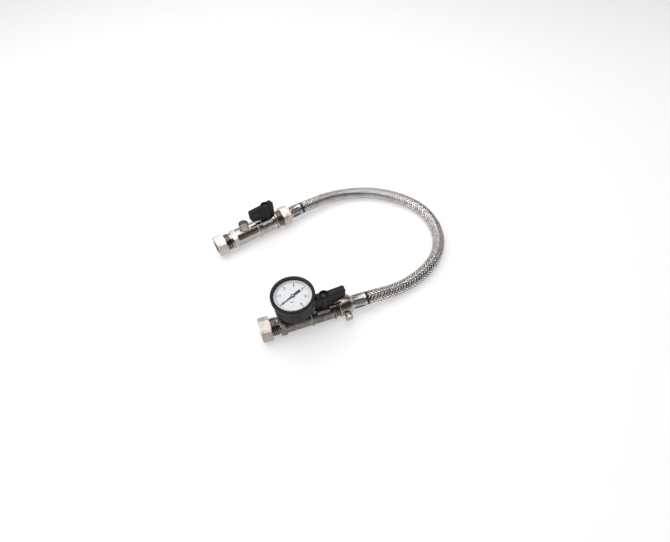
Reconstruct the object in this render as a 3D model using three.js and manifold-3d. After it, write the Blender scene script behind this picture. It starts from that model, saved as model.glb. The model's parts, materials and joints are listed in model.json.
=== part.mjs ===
// Filling loop for a sealed heating system: two quarter-turn valves joined by a braided hose.
// The mains valve holds two check cartridges and a plugged test port.
// The heating valve carries a pressure gauge on the same port of the same housing.
// Millimetres, +Z up. +X runs along the heating valve, and the origin is on the bench,
// under the middle of the two valves. Along a valve, x counts from the pipe nut's outer face.
import * as THREE from 'three';
import { mergeVertices } from 'three/addons/utils/BufferGeometryUtils.js';
import Module from 'manifold-3d';

const wasm = await Module();
wasm.setup();

// Clearances, how far a cut runs past its piece and joined solids lap, and facets
const GAP = 0.3;
const PLAY = 0.1;
const HAIR = 0.05;
const CUT = 1;
const LAP = 0.5;
const ROUND = 22;
const BORE_ROUND = 16;
const SMALL_ROUND = 12;
const TINY_ROUND = 8;
const CHAMFER = 1.2;
const HEX_FACE_EDGE = 0.2;

// Where the valves lie on the bench
const HEATING_PLACE = [-34.85, -71.9];
const MAINS_PLACE = [-58.15, 60.7];
const MAINS_HEADING = THREE.MathUtils.degToRad(14.2);

// Pipe nut, olive and the thread behind the nut
const PIPE_RADIUS = 7.5;
const PIPE_FIT = 0.2;
const NUT_FLATS = 24;
const NUT_LENGTH = 11.8;
const NUT_LIP = 2.2;
const NUT_ENGAGED = 6.3;
const NUT_ROLL = THREE.MathUtils.degToRad(10);
const OLIVE_WIDTH = 5.4;
const OLIVE_HEIGHT = 1.3;
const OLIVE_SLOPE = 2.2;
const SOCKET_CONE = 2.6;
const NUT_CONE = 1.6;
const THREAD_RADIUS = 10.3;
const THREAD_SHOWN = 8.7;
const PIPE_DEPTH = 15.5;
const SOCKET_WALL = 3;

// Check housing, with a small port on the mains valve and the gauge's port on the heating valve
const COLLAR_FLATS = 22;
const COLLAR_LENGTH = 7;
const BODY_RADIUS = 11;
const CHECK_SECTION = 28.1;
const BAND_RADIUS = 12;
const BAND_WIDTH = 2;
const SPIGOT_RADIUS = 9.3;
const WATERWAY_RADIUS = 6;
const CARTRIDGE_RADIUS = 6.9;

// Gauge's port on the heating valve's housing
const PORT_FROM_BAND = 15.6;
const PORT_RADIUS = 6.2;
const PORT_HEIGHT = 16.5;
const PORT_THREAD = 4.4;
const PORT_THREAD_LENGTH = 7;
const PORT_HOLE = 2.2;
const PORT_WASHER = 1;

// Test port on the mains valve's housing, and its plug
const TEST_PORT_RADIUS = 5.2;
const TEST_PORT_HEIGHT = 14.2;
const TEST_THREAD = 2.9;
const TEST_THREAD_LENGTH = 5;
const PLUG_RADIUS = 6.1;
const PLUG_HEIGHT = 3;
const PLUG_SLOT_WIDTH = 1.4;
const PLUG_SLOT_DEPTH = 1.3;
const PLUG_CHAMFER = 0.8;

// Ball section
const BALL_BODY_LENGTH = 22.9;
const STEM_OFFSET = 2.75;
const BALL_RADIUS = 8.2;
const BALL_BORE = 5.2;
const SEAT_WIDTH = 2.4;
const SEAT_WALL = 0.8;
const SEAT_LAND = 0.5;
const PAD_LENGTH = 14.5;
const PAD_WIDTH = 15.2;
const PAD_OVER_SEAL = 0.9;
const STOP_SIZE = 3.1;
const STOP_HEIGHT = 3.8;

// Stem and its fastener
const STEM_RADIUS = 3;
const STEM_FLANGE_RADIUS = 3.9;
const STEM_FLANGE = 1.4;
const STEM_SQUARE = 4.4;
const STEM_SQUARE_HEIGHT = 8.9;
const TANG_WIDTH = 2.4;
const TANG_LENGTH = 5;
const TANG_DEPTH = 1.7;
const STEM_SEAL_SECTION = 1.1;
const STEM_SEAL_LAND = 0.5;
const STEM_SEAL_EASE = 0.3;
const SCREW_RADIUS = 1.5;
const SCREW_HEAD_RADIUS = 3.1;
const SCREW_HEAD_HEIGHT = 1.6;
const SCREW_LENGTH = 14.5;
const SCREW_SLOT_WIDTH = 0.9;
const SCREW_SLOT_DEPTH = 0.7;
const SCREW_SLOT_LAND = 1;
const SCREW_HEAD_EASE = 0.55;

// Lever handle
const HANDLE_THICKNESS = 7.5;
const HANDLE_HEIGHT = 20;
const HANDLE_RISE = 1.8;
const HUB_RADIUS = 5.5;
const LONG_WING = 23.2;
const SHORT_WING = 10.5;
const MAINS_LEVER_TURN = 10;
const WING_TIP_HEIGHT = 13.6;
const WING_CORNER = 1.6;
const WING_POCKET = 0.8;
const WING_POCKET_EDGE = 2.2;
const WING_POCKET_FOOT = 6.8;
const HANDLE_RECESS_RADIUS = 3.9;
const HANDLE_RECESS_DEPTH = 2.6;

// Hose end of the valve
const END_THREAD_LENGTH = 13.3;
const END_BORE = 6.5;
const HOSE_WASHER = 1.5;

// Check cartridges
const CARTRIDGE_SEAT = 2.7;
const CARTRIDGE_WALL = 1.1;
const CARTRIDGE_END = 1.6;
const SEAT_HOLE = 3.7;
const POPPET_RADIUS = 4.6;
const POPPET_THICKNESS = 1.3;
const POPPET_STEM = 0.9;
const POPPET_TRAVEL = 2.5;
const SPRING_SOLID = 3.6;
const FLOW_HOLE = 1.2;
const FLOW_HOLES = 4;
const FLOW_HOLE_CIRCLE = 3.6;
const POPPET_NOSE = 1.2;
const POPPET_STEM_SHOWN = 0.4;
const CARTRIDGE_FROM_PORT = 1;
const SPRING_WIRE = 0.35;
const SPRING_RADIUS = 2.3;
const SPRING_TURNS = 4;

// Pressure gauge
const CASE_RADIUS = 20.5;
const CASE_WALL = 1.6;
const CASE_FLOOR = 1.8;
const CASE_HEIGHT = 20.6;
const GAUGE_FLATS = 14;
const GAUGE_FLATS_HEIGHT = 8.5;
const GAUGE_NECK_RADIUS = 4;
const GAUGE_NECK_INSIDE = 2;
const GAUGE_WAY = 1.2;
const CASE_CHAMFER = 2.2;
const DIAL_RIM = 1;
const DIAL_THICKNESS = 0.8;
const DIAL_DEPTH = 1.1;
const WINDOW_THICKNESS = 1;
const BEZEL_WALL = 1.7;
const BEZEL_LAP = 1.3;
const BEZEL_LIP = 0.8;
const BEZEL_SKIRT = 3.7;
const BEZEL_EDGE = 0.5;
const BEZEL_ROUND = 0.8;
const POINTER_CLEAR = 0.3;
const POINTER_THICKNESS = 0.5;
const POINTER_SHORT = 3.5;
const POINTER_TAIL = 9.8;
const POINTER_HUB = 2.1;
const POINTER_POINT = 0.15;
const POINTER_WAIST = 0.9;
const POINTER_TAIL_WIDTH = 2.4;
const POINTER_ZERO = THREE.MathUtils.degToRad(205);
const SPINDLE_RADIUS = 0.7;
const PINION_RADIUS = 1.5;
const SECTOR_RADIUS = 6.2;
const SECTOR_THICKNESS = 1;
const SECTOR_HALF_ANGLE = THREE.MathUtils.degToRad(38);
const POINTER_SWEEP = THREE.MathUtils.degToRad(270);
const SECTOR_TAIL = 4;
const SECTOR_TAIL_WIDTH = 1.8;
const TOOTH_CLEAR = 0.2;
const PINION_HEIGHT = 2;
const MOVEMENT_PLATE = 0.8;
const MOVEMENT_SPACE = 4.2;
const MOVEMENT_WIDTH = 9;
const MOVEMENT_POST = 0.8;
const MOVEMENT_EDGE = 2;
const TUBE_SPACE = 3.9;
const TUBE_THICKNESS = 2;
const TUBE_WIDTH = 5;
const TUBE_SWEEP = THREE.MathUtils.degToRad(250);
const TUBE_ARM = 5;
const TUBE_ARM_HEIGHT = 2.4;

// Hose, its crimped ends and union nuts
const HOSE_DIAMETER = 15.5;
const HOSE_SIDES = 12;
const HOSE_STEP = 2;
const FERRULE_RADIUS = 8.3;
const FERRULE_LENGTH = 17.6;
const FERRULE_EDGE = 0.5;
const FERRULE_WINDOWS = 6;
const WINDOW_LENGTH = 12.5;
const WINDOW_WIDTH = 4.2;
const WINDOW_DEPTH = 0.7;
const TAIL_FLANGE = 1.5;
const TAIL_BORE = 4.5;
const TAIL_NECK_RADIUS = 6;
const FLANGE_RADIUS = 9.9;
const HOSE_NUT_LENGTH = 11.9;
const HOSE_NUT_LIP = 2.1;
const HOSE_NUT_FLATS = 23.5;
const HOSE_NUT_ROLL = THREE.MathUtils.degToRad(4);
const WING_NUT_LENGTH = 14.4;
const WING_NUT_RADIUS = 11.6;
const WING_NUT_REACH = 19;
const WING_NUT_EAR_LENGTH = 7.5;
const WING_NUT_EAR_HEIGHT = 6.5;
const WING_NUT_EDGE = 0.6;

// The hose's centre line, from the mains valve's ferrule to the heating valve's
const HOSE_ROUTE = [
  [58.74, 90.27, 13.65],
  [65.5, 91.9, 13.6],
  [80.2, 95.4, 13],
  [95.9, 99.3, 11.6],
  [114.2, 101.4, 9.6],
  [132.1, 100.8, 8.2],
  [149.8, 96.8, 7.85],
  [164.6, 90.8, 7.85],
  [177.2, 83, 7.85],
  [190, 72.7, 7.85],
  [200.6, 61, 7.85],
  [210.2, 46.2, 7.85],
  [216, 28.6, 7.85],
  [216.6, 8.1, 7.85],
  [211.7, -12.5, 7.85],
  [202.5, -29.4, 7.85],
  [189.3, -43.7, 7.85],
  [171.8, -55.3, 7.85],
  [154.2, -62.9, 7.85],
  [136.3, -67.6, 8.2],
  [119.7, -70.3, 9.8],
  [104.7, -71.5, 12.2],
  [93.3, -71.9, 13.5],
  [85.75, -71.9, 13.65],
];

// Places worked out from the sizes above, along a valve
const HOUSING_START = NUT_LENGTH - NUT_ENGAGED;
const COLLAR_START = NUT_LENGTH + THREAD_SHOWN;
const COLLAR_END = COLLAR_START + COLLAR_LENGTH;
const BAND_START = COLLAR_END + CHECK_SECTION;
const BAND_END = BAND_START + BAND_WIDTH;
const PORT_X = BAND_START - PORT_FROM_BAND;
const BALL_BODY_START = BAND_END + GAP;
const BALL_BODY_END = BALL_BODY_START + BALL_BODY_LENGTH;
const STEM_X = (BALL_BODY_START + BALL_BODY_END) / 2 + STEM_OFFSET;
const END_BAND_START = BALL_BODY_END + GAP;
const END_BAND_END = END_BAND_START + BAND_WIDTH;
const END_PIECE_END = END_BAND_END + END_THREAD_LENGTH;
const FLANGE_START = END_PIECE_END + HOSE_WASHER + 2 * GAP;
const HOSE_NUT_END = FLANGE_START + TAIL_FLANGE + GAP + HOSE_NUT_LIP;
const HOSE_NUT_START = HOSE_NUT_END - HOSE_NUT_LENGTH;
const WING_NUT_START = HOSE_NUT_END - WING_NUT_LENGTH;
const FERRULE_START = HOSE_NUT_END + GAP;
const FERRULE_END = FERRULE_START + FERRULE_LENGTH;
const SOCKET_RADIUS = PIPE_RADIUS + PIPE_FIT;
const CHAMBER_RADIUS = CARTRIDGE_RADIUS + GAP;
const POPPET_ROOM = POPPET_THICKNESS + POPPET_TRAVEL + SPRING_SOLID;
const CARTRIDGE_LENGTH = CARTRIDGE_SEAT + GAP + POPPET_ROOM + CARTRIDGE_END;
const CHAMBER_START = HOUSING_START + PIPE_DEPTH + SOCKET_WALL;
const BALL_CHAMBER = BALL_RADIUS + SEAT_WALL;
const SEAT_OUTER = BALL_CHAMBER - GAP;
const SEAT_INNER = BALL_BORE + GAP;
const SEAT_FACE = Math.sqrt((BALL_RADIUS + GAP) ** 2 - SEAT_INNER ** 2) + SEAT_LAND;
const SPIGOT_REACH = SEAT_FACE + GAP;
const DIAL_RADIUS = CASE_RADIUS - DIAL_RIM;
const BEZEL_RADIUS = CASE_RADIUS + GAP + BEZEL_WALL;
const BEZEL_OPENING = CASE_RADIUS - BEZEL_LAP;
const POINTER_TIP = DIAL_RADIUS - POINTER_SHORT;
const TUBE_BEND_RADIUS = CASE_RADIUS - CASE_WALL - TUBE_SPACE - TUBE_THICKNESS / 2;
const SEAL_GROOVE = STEM_SEAL_SECTION + 2 * PLAY;
const SEAL_BOTTOM = BALL_RADIUS + GAP + STEM_FLANGE + STEM_SEAL_LAND;
const PAD_HEIGHT = SEAL_BOTTOM + SEAL_GROOVE + PAD_OVER_SEAL;
const GAUGE_PORT = {
  radius: PORT_RADIUS, height: PORT_HEIGHT, thread: PORT_THREAD, length: PORT_THREAD_LENGTH,
};
const TEST_PORT = {
  radius: TEST_PORT_RADIUS, height: TEST_PORT_HEIGHT, thread: TEST_THREAD, length: TEST_THREAD_LENGTH,
};
const AXIS_HEIGHT = (NUT_FLATS / 2 / Math.cos(Math.PI / 6)) * Math.cos(NUT_ROLL);

// Finishes
function finish(colour, roughness, metalness) {
  return new THREE.MeshStandardMaterial({ color: colour, roughness, metalness, flatShading: true });
}
const NICKEL = finish(0xc9c3ba, 0.28, 1);
const BRASS = finish(0xc0a060, 0.35, 1);
const STEEL = finish(0xb8b8b8, 0.35, 1);
const BRAID = finish(0xa5a2a0, 0.45, 1);
const BLACK_PLASTIC = finish(0x1b1a19, 0.5, 0);
const CASE_PLASTIC = finish(0x2b2b2c, 0.55, 0);
const WHITE_PLASTIC = finish(0xe9ebef, 0.6, 0);
const PALE_PLASTIC = finish(0xd8d4c8, 0.5, 0);
const RUBBER = finish(0x202020, 0.8, 0);
const FIBRE = finish(0x8a3a2a, 0.8, 0);
const CLEAR = finish(0xf4f7fa, 0.05, 0);
CLEAR.transparent = true;
CLEAR.opacity = 0.3;

// A closed geometry as a solid: seam vertices are joined and the collapsed faces on an axis go
function solid(geometry) {
  const bare = geometry.clone();
  bare.deleteAttribute('normal');
  bare.deleteAttribute('uv');
  const merged = mergeVertices(bare, 1e-4);
  const points = merged.getAttribute('position');
  const corners = [];
  let volume = 0;
  const a = new THREE.Vector3();
  const b = new THREE.Vector3();
  const c = new THREE.Vector3();
  for (let i = 0; i < merged.index.count; i += 3) {
    const [p, q, r] = [0, 1, 2].map((k) => merged.index.getX(i + k));
    if (p === q || q === r || r === p) continue;
    corners.push(p, q, r);
    a.fromBufferAttribute(points, p);
    b.fromBufferAttribute(points, q);
    c.fromBufferAttribute(points, r);
    volume += a.dot(b.cross(c));
  }
  if (volume < 0) corners.reverse();
  return new wasm.Manifold(new wasm.Mesh({
    numProp: 3,
    vertProperties: new Float32Array(points.array),
    triVerts: new Uint32Array(corners),
  }));
}

function joined(...solids) {
  return solids.reduce((whole, next) => whole.add(next));
}

function less(whole, ...cuts) {
  return cuts.reduce((rest, cut) => rest.subtract(cut), whole);
}

// A named sub-part
function piece(name, shape, material) {
  const surface = shape.getMesh();
  const geometry = new THREE.BufferGeometry();
  geometry.setAttribute('position', new THREE.BufferAttribute(surface.vertProperties, 3));
  geometry.setIndex(new THREE.BufferAttribute(surface.triVerts, 1));
  const mesh = new THREE.Mesh(geometry, material);
  mesh.name = name;
  return mesh;
}

// Turned shapes: points are [along the axis, radius], and a hollow's profile closes on itself
function lathe(points, sides) {
  const outline = points.map(([along, radius]) => new THREE.Vector2(radius, along));
  if (points[0][1] > 0) outline.push(outline[0].clone());
  return new THREE.LatheGeometry(outline, sides);
}

function turned(points, sides = ROUND) {
  return solid(lathe(points, sides).rotateZ(-Math.PI / 2));
}

function turnedUp(points, sides = ROUND, x = 0, y = 0) {
  return solid(lathe(points, sides).rotateX(Math.PI / 2).translate(x, y, 0));
}

function tube(start, end, inner, outer, sides = ROUND) {
  return turned([[start, inner], [start, outer], [end, outer], [end, inner]], sides);
}

function rod(start, end, radius, sides = ROUND) {
  return turned([[start, 0], [start, radius], [end, radius], [end, 0]], sides);
}

function post(bottom, top, radius, sides = SMALL_ROUND, x = 0, y = 0) {
  return turnedUp([[bottom, 0], [bottom, radius], [top, radius], [top, 0]], sides, x, y);
}

function block(x0, x1, y0, y1, z0, z1) {
  const box = new THREE.BoxGeometry(x1 - x0, y1 - y0, z1 - z0);
  return solid(box.translate((x0 + x1) / 2, (y0 + y1) / 2, (z0 + z1) / 2));
}

// A hexagonal bar along x with its corners turned off at both ends; roll 0 puts a corner down
function hexBar(start, end, flats, roll) {
  const corner = flats / 2 / Math.cos(Math.PI / 6);
  const length = end - start;
  const bar = new THREE.CylinderGeometry(corner, corner, length, 6);
  bar.rotateZ(-Math.PI / 2).rotateX(-roll).translate(start + length / 2, 0, 0);
  const eased = flats / 2 + HEX_FACE_EDGE;
  const clear = corner + 2 * HEX_FACE_EDGE;
  const cone = turned([
    [start, 0], [start, eased], [start + CHAMFER, clear], [end - CHAMFER, clear], [end, eased], [end, 0],
  ]);
  return solid(bar).intersect(cone);
}

// A hexagon standing up, such as the gauge's spanner flats
function hexPost(bottom, top, flats) {
  const corner = flats / 2 / Math.cos(Math.PI / 6);
  const bar = new THREE.CylinderGeometry(corner, corner, top - bottom, 6);
  return solid(bar.rotateX(Math.PI / 2).translate(0, 0, (top + bottom) / 2));
}

// A flat outline in the x-z plane, given a thickness across y
function slab(outline, thickness) {
  const shape = new THREE.Shape(outline.map(([x, z]) => new THREE.Vector2(x, z)));
  const plate = new THREE.ExtrudeGeometry(shape, { depth: thickness, bevelEnabled: false });
  return solid(plate.rotateX(Math.PI / 2).translate(0, thickness / 2, 0));
}

// A flat outline in the x-y plane, given a thickness upward
function plate(outline, bottom, thickness) {
  const shape = new THREE.Shape(outline.map(([x, y]) => new THREE.Vector2(x, y)));
  const geometry = new THREE.ExtrudeGeometry(shape, { depth: thickness, bevelEnabled: false });
  return solid(geometry.translate(0, 0, bottom));
}

// A round section as a polygon, to be drawn along a path
function section(radius, sides) {
  const corners = arc(radius, 0, (2 * Math.PI * (sides - 1)) / sides, sides - 1);
  return new THREE.Shape(corners.map(([x, y]) => new THREE.Vector2(x, y)));
}

function arc(radius, from, to, steps) {
  return Array.from({ length: steps + 1 }, (_, i) => {
    const angle = from + ((to - from) * i) / steps;
    return [radius * Math.cos(angle), radius * Math.sin(angle)];
  });
}

// Pipe nut: a lip that the pipe passes, a cone that squeezes the olive, then the thread
function compressionNut() {
  const shoulder = HOUSING_START - GAP;
  const entry = SOCKET_RADIUS + PLAY;
  const bore = turned([
    [-CUT, 0], [-CUT, entry], [NUT_LIP, entry],
    [NUT_LIP + NUT_CONE, SOCKET_RADIUS + OLIVE_HEIGHT + GAP], [shoulder, THREAD_RADIUS + GAP],
    [NUT_LENGTH + CUT, THREAD_RADIUS + GAP], [NUT_LENGTH + CUT, 0],
  ]);
  return less(hexBar(0, NUT_LENGTH, NUT_FLATS, NUT_ROLL), bore);
}

function olive() {
  const start = NUT_LIP + GAP + PLAY;
  const end = start + OLIVE_WIDTH;
  const inner = SOCKET_RADIUS - HAIR;
  const crown = inner + OLIVE_HEIGHT;
  return turned([[start, inner], [start + OLIVE_SLOPE, crown], [end - OLIVE_SLOPE, crown], [end, inner]]);
}

// Check housing with its pipe socket, port and the spigot that enters the ball body
function checkHousing(port) {
  const thread = rod(HOUSING_START, COLLAR_START + CHAMFER, THREAD_RADIUS);
  const collar = hexBar(COLLAR_START, COLLAR_END, COLLAR_FLATS, NUT_ROLL);
  const barrel = rod(COLLAR_END - CHAMFER, BAND_START + LAP, BODY_RADIUS);
  const band = rod(BAND_START, BAND_END, BAND_RADIUS);
  const spigot = rod(BAND_END - LAP, STEM_X - SPIGOT_REACH, SPIGOT_RADIUS);
  const boss = post(0, port.height, port.radius, SMALL_ROUND, PORT_X);
  const mouth = SOCKET_RADIUS + OLIVE_HEIGHT + LAP;
  const socketEnd = HOUSING_START + PIPE_DEPTH;
  const way = turned([
    [HOUSING_START - CUT, 0], [HOUSING_START - CUT, mouth], [HOUSING_START, mouth],
    [HOUSING_START + SOCKET_CONE, SOCKET_RADIUS], [socketEnd, SOCKET_RADIUS],
    [socketEnd, WATERWAY_RADIUS], [CHAMBER_START, WATERWAY_RADIUS], [CHAMBER_START, CHAMBER_RADIUS],
    [STEM_X, CHAMBER_RADIUS], [STEM_X, 0],
  ], BORE_ROUND);
  const threadFloor = port.height - port.length - GAP;
  const portBore = post(threadFloor, port.height + CUT, port.thread + GAP, SMALL_ROUND, PORT_X);
  const portHole = post(0, port.height, PORT_HOLE, TINY_ROUND, PORT_X);
  return less(joined(thread, collar, barrel, band, spigot, boss), way, portBore, portHole);
}

// Ball body: a tube with a flat pad on top that carries the stem and the handle's stop
function ballBody() {
  const barrel = rod(BALL_BODY_START, BALL_BODY_END, BODY_RADIUS);
  const halfPad = PAD_LENGTH / 2;
  const middle = STEM_X - STEM_OFFSET;
  const pad = block(middle - halfPad, middle + halfPad, -PAD_WIDTH / 2, PAD_WIDTH / 2, 0, PAD_HEIGHT);
  const side = HANDLE_THICKNESS / 2 + GAP + HAIR;
  const far = side + STOP_SIZE;
  const stop = block(STEM_X - far, STEM_X - side, side, far, PAD_HEIGHT - LAP, PAD_HEIGHT + STOP_HEIGHT);
  const socket = SPIGOT_REACH - GAP;
  const cavity = turned([
    [BALL_BODY_START - CUT, 0], [BALL_BODY_START - CUT, SPIGOT_RADIUS + GAP],
    [STEM_X - socket, SPIGOT_RADIUS + GAP], [STEM_X - socket, BALL_CHAMBER],
    [STEM_X + socket, BALL_CHAMBER], [STEM_X + socket, SPIGOT_RADIUS + GAP],
    [BALL_BODY_END + CUT, SPIGOT_RADIUS + GAP], [BALL_BODY_END + CUT, 0],
  ], BORE_ROUND);
  const flangeTop = BALL_RADIUS + 2 * GAP + STEM_FLANGE;
  const flangeRoom = post(0, flangeTop, STEM_FLANGE_RADIUS + GAP, SMALL_ROUND, STEM_X);
  const stemBore = post(0, PAD_HEIGHT + CUT, STEM_RADIUS + GAP, SMALL_ROUND, STEM_X);
  return less(joined(barrel, pad, stop), cavity, flangeRoom, stemBore);
}

function ball() {
  const sphere = solid(new THREE.SphereGeometry(BALL_RADIUS, BORE_ROUND, 10).rotateZ(-Math.PI / 2));
  const bore = rod(-BALL_RADIUS - CUT, BALL_RADIUS + CUT, BALL_BORE, SMALL_ROUND);
  const halfSlot = TANG_WIDTH / 2 + GAP;
  const floor = BALL_RADIUS - TANG_DEPTH - GAP;
  const halfLength = TANG_LENGTH / 2 + GAP;
  const slot = block(-halfLength, halfLength, -halfSlot, halfSlot, floor, BALL_RADIUS + CUT);
  return less(sphere, bore, slot).translate(STEM_X, 0, 0);
}

// A seat ring beside the ball; side is -1 towards the pipe and 1 towards the hose
function ballSeat(side) {
  const face = SEAT_FACE;
  const inside = face - SEAT_WIDTH;
  const lip = Math.sqrt((BALL_RADIUS + GAP) ** 2 - inside ** 2) + HAIR;
  const outline = [
    [face, SEAT_INNER], [face, SEAT_OUTER], [inside, SEAT_OUTER],
    [inside, lip], [face - SEAT_LAND, SEAT_INNER],
  ];
  return turned(outline.map(([along, radius]) => [STEM_X + side * along, radius]), BORE_ROUND);
}

// Stem: tang in the ball's slot, a flange that holds it in, a seal groove and a square for the handle
function stem() {
  const flangeBottom = BALL_RADIUS + GAP;
  const flangeTop = flangeBottom + STEM_FLANGE;
  const tangBottom = BALL_RADIUS - TANG_DEPTH;
  const halfTang = TANG_WIDTH / 2;
  const tang = block(-TANG_LENGTH / 2, TANG_LENGTH / 2, -halfTang, halfTang, tangBottom, flangeBottom + LAP);
  const groove = STEM_RADIUS - STEM_SEAL_SECTION;
  const sealTop = SEAL_BOTTOM + SEAL_GROOVE;
  const shaft = turnedUp([
    [flangeBottom, 0], [flangeBottom, STEM_FLANGE_RADIUS], [flangeTop, STEM_FLANGE_RADIUS],
    [flangeTop, STEM_RADIUS], [SEAL_BOTTOM, STEM_RADIUS], [SEAL_BOTTOM, groove], [sealTop, groove],
    [sealTop, STEM_RADIUS], [PAD_HEIGHT, STEM_RADIUS], [PAD_HEIGHT, 0],
  ], SMALL_ROUND);
  const halfSquare = STEM_SQUARE / 2;
  const top = PAD_HEIGHT + STEM_SQUARE_HEIGHT;
  const square = block(-halfSquare, halfSquare, -halfSquare, halfSquare, PAD_HEIGHT - LAP, top);
  const tapped = post(screwBottom() - GAP, top + CUT, SCREW_RADIUS + GAP, TINY_ROUND);
  return less(joined(tang, shaft, square), tapped).translate(STEM_X, 0, 0);
}

function stemSeal() {
  const bottom = SEAL_BOTTOM + PLAY;
  const inner = STEM_RADIUS - STEM_SEAL_SECTION + PLAY;
  const outer = STEM_RADIUS + PLAY;
  const ease = STEM_SEAL_EASE;
  const top = bottom + STEM_SEAL_SECTION;
  return turnedUp([
    [bottom, inner], [bottom, outer - ease], [bottom + ease, outer],
    [top - ease, outer], [top, outer - ease], [top, inner],
  ], SMALL_ROUND, STEM_X);
}

function handleBottom() {
  return PAD_HEIGHT + GAP + HAIR;
}

function recessFloor() {
  return handleBottom() + HANDLE_HEIGHT - HANDLE_RECESS_DEPTH;
}

function screwBottom() {
  return recessFloor() + GAP - SCREW_LENGTH;
}

// Lever handle, long wing towards +x; the hose-side valve uses it so, the mains valve turned half round
function handle() {
  const bottom = handleBottom();
  const top = bottom + HANDLE_HEIGHT;
  const tipTop = top + HANDLE_RISE;
  const tipBottom = tipTop - WING_TIP_HEIGHT;
  const ease = WING_CORNER;
  const outline = [
    [-SHORT_WING, bottom], [HUB_RADIUS, bottom], [HUB_RADIUS + ease, bottom + ease],
    [LONG_WING - ease, tipBottom - ease / 2], [LONG_WING, tipBottom + ease / 2], [LONG_WING, tipTop - ease],
    [LONG_WING - ease, tipTop], [HUB_RADIUS, top], [-SHORT_WING + ease, top], [-SHORT_WING, top - ease],
  ];
  const wings = slab(outline, HANDLE_THICKNESS);
  const hub = post(bottom, top, HUB_RADIUS, BORE_ROUND);
  const edge = WING_POCKET_EDGE;
  const pocketOutline = [
    [HUB_RADIUS + edge, bottom + WING_POCKET_FOOT], [LONG_WING - edge, tipBottom + edge],
    [LONG_WING - edge, tipTop - 2 * edge], [HUB_RADIUS + edge, top - edge],
  ];
  const depth = HANDLE_THICKNESS / 2 - WING_POCKET;
  const pockets = less(slab(pocketOutline, HANDLE_THICKNESS + CUT), slab(pocketOutline, 2 * depth));
  const room = STEM_SQUARE / 2 + GAP;
  const square = block(-room, room, -room, room, bottom - CUT, PAD_HEIGHT + STEM_SQUARE_HEIGHT + GAP);
  const screwHole = post(bottom, top + CUT, SCREW_RADIUS + GAP, TINY_ROUND);
  const recess = post(recessFloor(), top + HANDLE_RISE + CUT, HANDLE_RECESS_RADIUS, SMALL_ROUND);
  return less(joined(wings, hub), pockets, square, screwHole, recess);
}

function handleScrew() {
  const seat = recessFloor() + GAP;
  const top = seat + SCREW_HEAD_HEIGHT;
  const shape = turnedUp([
    [screwBottom(), 0], [screwBottom(), SCREW_RADIUS], [seat, SCREW_RADIUS],
    [seat, SCREW_HEAD_RADIUS], [top - SCREW_HEAD_EASE, SCREW_HEAD_RADIUS],
    [top, SCREW_HEAD_RADIUS - SCREW_HEAD_EASE], [top, 0],
  ], SMALL_ROUND);
  const half = SCREW_SLOT_WIDTH / 2;
  const reach = SCREW_HEAD_RADIUS - SCREW_SLOT_LAND;
  const floor = top - SCREW_SLOT_DEPTH;
  const along = block(-reach, reach, -half, half, floor, top + CUT);
  const across = block(-half, half, -reach, reach, floor, top + CUT);
  return less(shape, along, across);
}

// End piece: spigot behind the ball, the second band and the thread that takes the hose nut
function endPiece() {
  return turned([
    [STEM_X + SPIGOT_REACH, END_BORE], [STEM_X + SPIGOT_REACH, SPIGOT_RADIUS],
    [END_BAND_START, SPIGOT_RADIUS], [END_BAND_START, BAND_RADIUS], [END_BAND_END, BAND_RADIUS],
    [END_BAND_END, THREAD_RADIUS], [END_PIECE_END, THREAD_RADIUS], [END_PIECE_END, END_BORE],
  ]);
}

// What screws into the port stands on a washer
function portWasher(port) {
  const bottom = port.height + GAP;
  const top = bottom + PORT_WASHER;
  const inner = port.thread + GAP;
  return turnedUp([
    [bottom, inner], [bottom, port.radius], [top, port.radius], [top, inner],
  ], SMALL_ROUND, PORT_X);
}

function portShoulder(port) {
  return port.height + PORT_WASHER + 2 * GAP;
}

function testPlug() {
  const shoulder = portShoulder(TEST_PORT);
  const start = TEST_PORT_HEIGHT - TEST_THREAD_LENGTH;
  const top = shoulder + PLUG_HEIGHT;
  const shape = turnedUp([
    [start, 0], [start, TEST_THREAD], [shoulder, TEST_THREAD],
    [shoulder, PLUG_RADIUS], [top - PLUG_CHAMFER, PLUG_RADIUS],
    [top, PLUG_RADIUS - PLUG_CHAMFER], [top, 0],
  ], BORE_ROUND);
  const half = PLUG_SLOT_WIDTH / 2;
  const slot = block(-PLUG_RADIUS - CUT, PLUG_RADIUS + CUT, -half, half, top - PLUG_SLOT_DEPTH, top + CUT);
  return less(shape, slot).translate(PORT_X, 0, 0);
}

// Check cartridges: seat ring, cage, poppet and spring, opening towards the hose
function cartridgeSeat(start) {
  return tube(start, start + CARTRIDGE_SEAT, SEAT_HOLE, CARTRIDGE_RADIUS, SMALL_ROUND);
}

function cartridgeCage(start) {
  const cageStart = start + CARTRIDGE_SEAT + GAP;
  const end = start + CARTRIDGE_LENGTH;
  const inner = CARTRIDGE_RADIUS - CARTRIDGE_WALL;
  const cup = turned([
    [cageStart, inner], [cageStart, CARTRIDGE_RADIUS], [end, CARTRIDGE_RADIUS],
    [end, POPPET_STEM + GAP], [end - CARTRIDGE_END, POPPET_STEM + GAP], [end - CARTRIDGE_END, inner],
  ], SMALL_ROUND);
  const holes = Array.from({ length: FLOW_HOLES }, (_, i) => {
    const angle = ((i + 0.5) * 2 * Math.PI) / FLOW_HOLES;
    const hole = rod(end - CARTRIDGE_END - CUT, end + CUT, FLOW_HOLE, TINY_ROUND);
    return hole.translate(0, FLOW_HOLE_CIRCLE * Math.cos(angle), FLOW_HOLE_CIRCLE * Math.sin(angle));
  });
  return less(cup, ...holes);
}

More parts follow.
